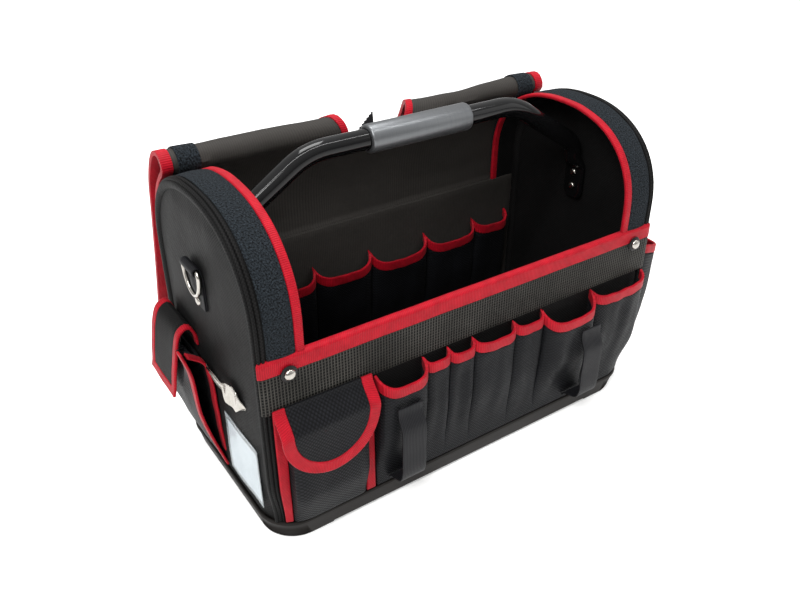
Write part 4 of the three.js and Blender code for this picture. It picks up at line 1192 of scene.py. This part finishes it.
def buildRings():
    for side, name in ((-1, "left"), (1, "right")):
        x = side * (bag["halfLength"] + rings["barOut"])
        barEnd = rings["bar"] / 2 - rings["corner"]
        points = [(share * barEnd, 0) for share in (-1, -0.7, 0, 0.7, 1)]
        for angle in spread(0, math.pi, 12):
            low = -rings["corner"] - (rings["drop"] - rings["corner"]) * math.sin(angle)
            points.append((rings["bar"] / 2 * math.cos(angle), low))
        closed = [Vector((x, rings["y"] + y, rings["z"] + z)) for y, z in points]
        route = smoothRoute([closed[-1]] + closed + closed[:2], 6)
        first, last = 6, len(route["points"]) - 7
        loop = makeRoute(route["points"][first:last + 1])
        radius = rings["wire"]

        def wireSection(distance, angle):
            return radius * math.cos(angle), radius * math.sin(angle)

        bm = tubeGrid(loop, Vector((1, 0, 0)), 12, wireSection, step=1.6)
        caps = [face for face in bm.faces if len(face.verts) > 4]
        if caps:
            bmesh.ops.delete(bm, geom=caps, context="FACES_ONLY")
            bmesh.ops.remove_doubles(bm, verts=bm.verts, dist=0.2)
        finishPiece(bm, "dRing." + name, "nickel", ["d_ring_" + name], body="ring_" + name, sharp=70)

        # tab: up the panel, round the bar and down behind itself
        face = bag["halfLength"] + 0.3
        inner = rings["wire"] + 0.8
        middle = inner + rings["fold"] / 4
        out = rings["barOut"]
        back = face - bag["halfLength"] + 0.75
        points = [(back, rings["foot"]), (back, rings["z"] - 8)]
        for angle in spread(math.pi, -0.45 * math.pi, 12):
            points.append((out + middle * math.cos(angle), rings["z"] + middle * math.sin(angle)))
        points += [(2.9, rings["z"] - 9), (2.6, rings["z"] - 16), (2.5, rings["foot"])]
        line = makeRoute(points)

        def tabPlace(y, distance):
            point, _ = onRoute(line, distance)
            return Vector((side * (bag["halfLength"] + point.x), rings["y"] + y, point.y))

        half = rings["tab"] / 2
        bm = clothGrid((-half, half), (0, line["length"]), (3.4, 1.6), tabPlace)
        tab = finishPiece(bm, "ringTab." + name, "webbing", ["ring_tab_" + name], thick=1.4, edge=0.3)

        head = [(0, -6), (1.8, -6), (1.8, 0), (4.6, 0), (4.5, 0.7), (3.8, 1.5), (2.4, 2.0), (0, 2.2)]
        place = Vector((side * (bag["halfLength"] + 3.5), rings["y"], rings["rivetZ"]))
        rivet = turned(head, (side, 0, 0), place, 20)
        finishPiece(rivet, "tabRivet." + name, "nickel", ["tab_rivet_" + name])
    print("rings done")


# Left end: two pocket leaves under a flap, a label window and a clip

leftEnd = {
    "near": 4.0, "far": 92.0, "close": 28.0, "tape": 9.0,
    # how far out and how high at the open end, then under the flap; heights are shares of the front's
    "outer": [
        (1.8, .14, 1.4, .14), (8, .245, 9.5, .24), (14, .345, 15.5, .345), (19.5, .48, 21.5, .47),
        (21.5, .6, 22.5, .57), (23.5, .72, 18.5, .67), (30, .83, 13, .725),
    ],
    "inner": [
        (1.8, .23, 1.4, .23), (3.6, .36, 2.6, .35), (4.6, .49, 3, .47), (6, .66, 3.4, .58),
        (10, .745, 4, .65), (24.5, .805, 6, .7),
    ],
    "flapNear": 29.0, "flapFar": 90.0, "flapTape": 8.0,
    "flap": [(2.2, .735), (3.5, .79), (9, .838), (16.5, .822), (22.5, .755), (27, .64), (30, .54), (32, .5)],
}


def buildLeftEnd():
    face, frontTop = bag["halfLength"], bag["frontTop"]

    def leafPlace(sections, seed):
        near = smoothRoute([(out, z * frontTop) for out, z, _, _ in sections], 6)
        under = smoothRoute([(out, z * frontTop) for _, _, out, z in sections], 6)

        def place(y, up):
            covered = ease(y, leftEnd["near"], leftEnd["flapNear"] - 2)
            closed = ease(y, leftEnd["far"] - leftEnd["close"], leftEnd["far"])
            a, _ = onRoute(near, up * near["length"])
            b, _ = onRoute(under, up * under["length"])
            point = a.lerp(b, covered)
            out = lerp(point.x, 1.4, closed)
            loose = 1.0 * ripple(y, up * 140, 28, seed) * ease(up, 0.1, 0.4) * (1 - closed)
            return Vector((-(face + max(out + loose, 1.3)), y, point.y * (1 - 0.08 * closed)))

        return place, near["length"]

    for name, sections, stop, seed in (
        ("outer", leftEnd["outer"], leftEnd["far"], 51),
        ("inner", leftEnd["inner"], leftEnd["far"] - leftEnd["close"], 53),
    ):
        place, tall = leafPlace(sections, seed)
        bm = clothGrid((leftEnd["near"], stop), (0, tall), (4, 4), lambda y, d: place(y, d / tall))
        leaf = finishPiece(bm, "leftLeaf." + name, "pocket", ["left_pocket_" + name], thick=1.8, edge=0.5)
        edge = leftEnd["near"]
        bm = clothGrid((edge - leftEnd["tape"], edge), (0, tall), (2.2, 3), lambda y, d: place(y, d / tall))
        finishPiece(
            bm, "leftLeafTape." + name, "tape", ["left_pocket_tape_" + name], thick=2.4, edge=0.8, sharp=60,
        )

    line = smoothRoute([(out, z * frontTop) for out, z in leftEnd["flap"]], 8)
    length = line["length"]

    def flapPlace(y, distance):
        point, _ = onRoute(line, distance)
        sag = 1.2 * ripple(y, distance, 34, 57) * ease(distance, 8, 30)
        back = 0.06 * (y - leftEnd["flapNear"])
        return Vector((-(face + point.x + max(sag, -1)), y, point.y + back * 0.4))

    near, far, edge = leftEnd["flapNear"], leftEnd["flapFar"], leftEnd["flapTape"]
    bm = clothGrid((near + edge, far - edge), (0, length - edge), (4, 4), flapPlace)
    flap = finishPiece(bm, "leftFlap", "body", ["left_flap"], thick=1.8, edge=0.5)
    bm = clothGrid(
        (near, far), (0, length), (3, 3), flapPlace, holes=[(near + edge, far - edge, -1, length - edge)]
    )
    finishPiece(
        bm, "leftFlapTape", "tape", ["left_flap_binding"], thick=2.8, edge=1.0, sharp=60,
    )

    low, high = boxMm("label_window")
    low.z -= 4

    def windowPlace(y, z):
        return Vector((-(face + panelPuff(-1, y, z) + 1.0 + 0.4 * ripple(y, z, 30, 61)), y, z))

    def cardPlace(y, z):
        return windowPlace(y, z) + Vector((0.5, 0, 0))

    bm = clothGrid((low.y + 4, high.y - 3), (low.z + 3, high.z - 8), (5, 5), cardPlace)
    finishPiece(
        bm, "labelCard", "card", thick=0.35,
    )
    bm = clothGrid((low.y, high.y), (low.z, high.z), (4, 4), windowPlace)
    finishPiece(
        bm, "labelWindow", "vinyl", ["label_window"], thick=0.4,
    )

    # share of the clip's length and half its width there
    clip = [(0, 2.5), (.08, 1.6), (.3, 3.6), (.46, 3.2), (.52, 8.5), (.6, 12), (.84, 12), (.92, 5), (1, 1.2)]
    start, end = Vector((-(face + 9), -7, 150)), Vector((-(face + 1.4), -67, 138))
    along = end - start
    sideways = Vector((1, 0, 0)).cross(along).normalized()

    def clipPlace(hand, distance):
        for (a, wide), (b, after) in zip(clip, clip[1:]):
            if distance <= b * along.length + 1e-6:
                half = lerp(wide, after, (distance / along.length - a) / (b - a))
                break
        share = min(distance / along.length, 1)
        teeth = 0.7 * math.sin(distance / 2.6) * (share > 0.45)
        bow = 2.0 * math.sin(math.pi * share) + 1.3 * abs(hand) ** 3 + teeth
        return start + along * (distance / along.length) + sideways * hand * half - Vector((bow, 0, 0))

    bm = clothGrid((-1, 1), (0, along.length), (0.25, 1.5), clipPlace)
    finishPiece(bm, "tapeClip", "nickel", ["tape_clip"], thick=1.2, edge=0.3)
    print("left end done")


# Right end pocket

rightEnd = {"near": -101.0, "far": 42.0, "foot": 30.0, "top": 178.0, "depth": 31.0, "sag": 10.0, "tape": 10.0}


def buildRightEnd():
    width = rightEnd["far"] - rightEnd["near"]
    stand = bag["clear"] + 1.5

    def at(y, up, reach=0.0):
        across = 2 * (y - rightEnd["near"]) / width - 1
        share = max(1 - abs(across) ** 12, 0) ** 0.5
        high = rightEnd["top"] - rightEnd["sag"] * share
        z = rightEnd["foot"] + (high - reach - rightEnd["foot"]) * up
        rise = (z - rightEnd["foot"]) / (high - rightEnd["foot"])
        loose = 1.4 * ripple(y, z, 30, 71) * share * ease(rise, 0.1, 0.4)
        out = stand + rightEnd["depth"] * share * swell(rise) + loose
        return tucked(Vector((bag["halfLength"] + out, y, z)))

    tall = rightEnd["top"] - rightEnd["foot"]
    bm = clothGrid(
        (rightEnd["near"], rightEnd["far"]), (0, tall), (3, 5),
        lambda y, d: at(y, d / tall, rightEnd["tape"] + 0.5),
    )
    piece = finishPiece(bm, "rightPocket", "pocket", ["right_pocket"], thick=1.8, edge=0.5)
    share = 1 - rightEnd["tape"] / tall
    bm = clothGrid(
        (rightEnd["near"], rightEnd["far"]), (0, rightEnd["tape"]), (3, 2),
        lambda y, d: at(y, lerp(share, 1, d / rightEnd["tape"])),
    )
    turnCloth(bm)
    finishPiece(
        bm, "rightPocketTape", "tape", ["right_pocket_binding"], thick=2.6, edge=0.9, sharp=60,
    )
    print("right end done")


buildTray()
buildEnds()
buildWalls()
buildPockets()
buildStraps()
buildPouch()
buildLid()
buildHandle()
buildRings()
buildLeftEnd()
buildRightEnd()


# Floor, light and camera

studio = {
    "floor": "f4f4f3", "camera": (-0.4119, -0.5778, 0.5685),
    "azimuth": -34.2, "elevation": 31.4, "lens": 36.28,
}


def buildStudio():
    bm = bmesh.new()
    bmesh.ops.create_grid(bm, x_segments=1, y_segments=1, size=25)
    mesh = bpy.data.meshes.new("floor")
    bm.to_mesh(mesh)
    bm.free()
    floor = bpy.data.objects.new("floor", mesh)
    bpy.context.scene.collection.objects.link(floor)
    material, tree, shader = startMaterial("paleFloor", {
        "Roughness": 0.8, "Base Color": toLinear(studio["floor"]),
        "Emission Color": toLinear(studio["floor"]), "Emission Strength": 0.25,
    })
    mesh.materials.append(material)

    world = bpy.data.worlds.new("studio")
    world.use_nodes = True
    # a pale room that is brighter overhead than at its walls
    sky = world.node_tree
    direction = addNode(sky, "ShaderNodeTexCoord")
    height = addNode(sky, "ShaderNodeSeparateXYZ", {}, {0: direction.outputs["Generated"]})
    glow = addNode(
        sky, "ShaderNodeMapRange", {"From Min": -0.1, "From Max": 0.9, "To Min": 0.2, "To Max": 1.15},
        {"Value": height.outputs[2]},
    )
    sky.nodes["Background"].inputs[0].default_value = (1, 1, 1, 1)
    sky.links.new(glow.outputs[0], sky.nodes["Background"].inputs[1])
    bpy.context.scene.world = world
    for name, place, aim, size, power, tall in (
        ("key", (-1.1, -0.8, 1.5), (0, 0, 0.15), 0.6, 20, 0.6),
        ("fill", (1.6, -1.3, 1.0), (0, 0, 0.15), 1.2, 5, 1.2),
        ("top", (0.1, 0.4, 1.9), (0, 0, 0.15), 0.8, 22, 0.8),
        ("strip", (-0.3, -0.5, 1.7), (-0.3, 0, 0.3), 3.0, 18, 0.05),
    ):
        lamp = bpy.data.lights.new(name, "AREA")
        lamp.shape, lamp.size, lamp.size_y, lamp.energy = "RECTANGLE", size, tall, power
        light = bpy.data.objects.new(name, lamp)
        light.location = place
        light.rotation_euler = (Vector(aim) - Vector(place)).to_track_quat("-Z", "Y").to_euler()
        bpy.context.scene.collection.objects.link(light)

    lens = bpy.data.cameras.new("camera")
    lens.lens, lens.sensor_width, lens.clip_start = studio["lens"], 36.0, 0.01
    camera = bpy.data.objects.new("camera", lens)
    camera.location = studio["camera"]
    camera.rotation_euler = (math.radians(90 - studio["elevation"]), 0, math.radians(studio["azimuth"]))
    bpy.context.scene.collection.objects.link(camera)
    bpy.context.scene.camera = camera
    bpy.context.scene.view_settings.view_transform = "Standard"
    print("studio done")


buildStudio()
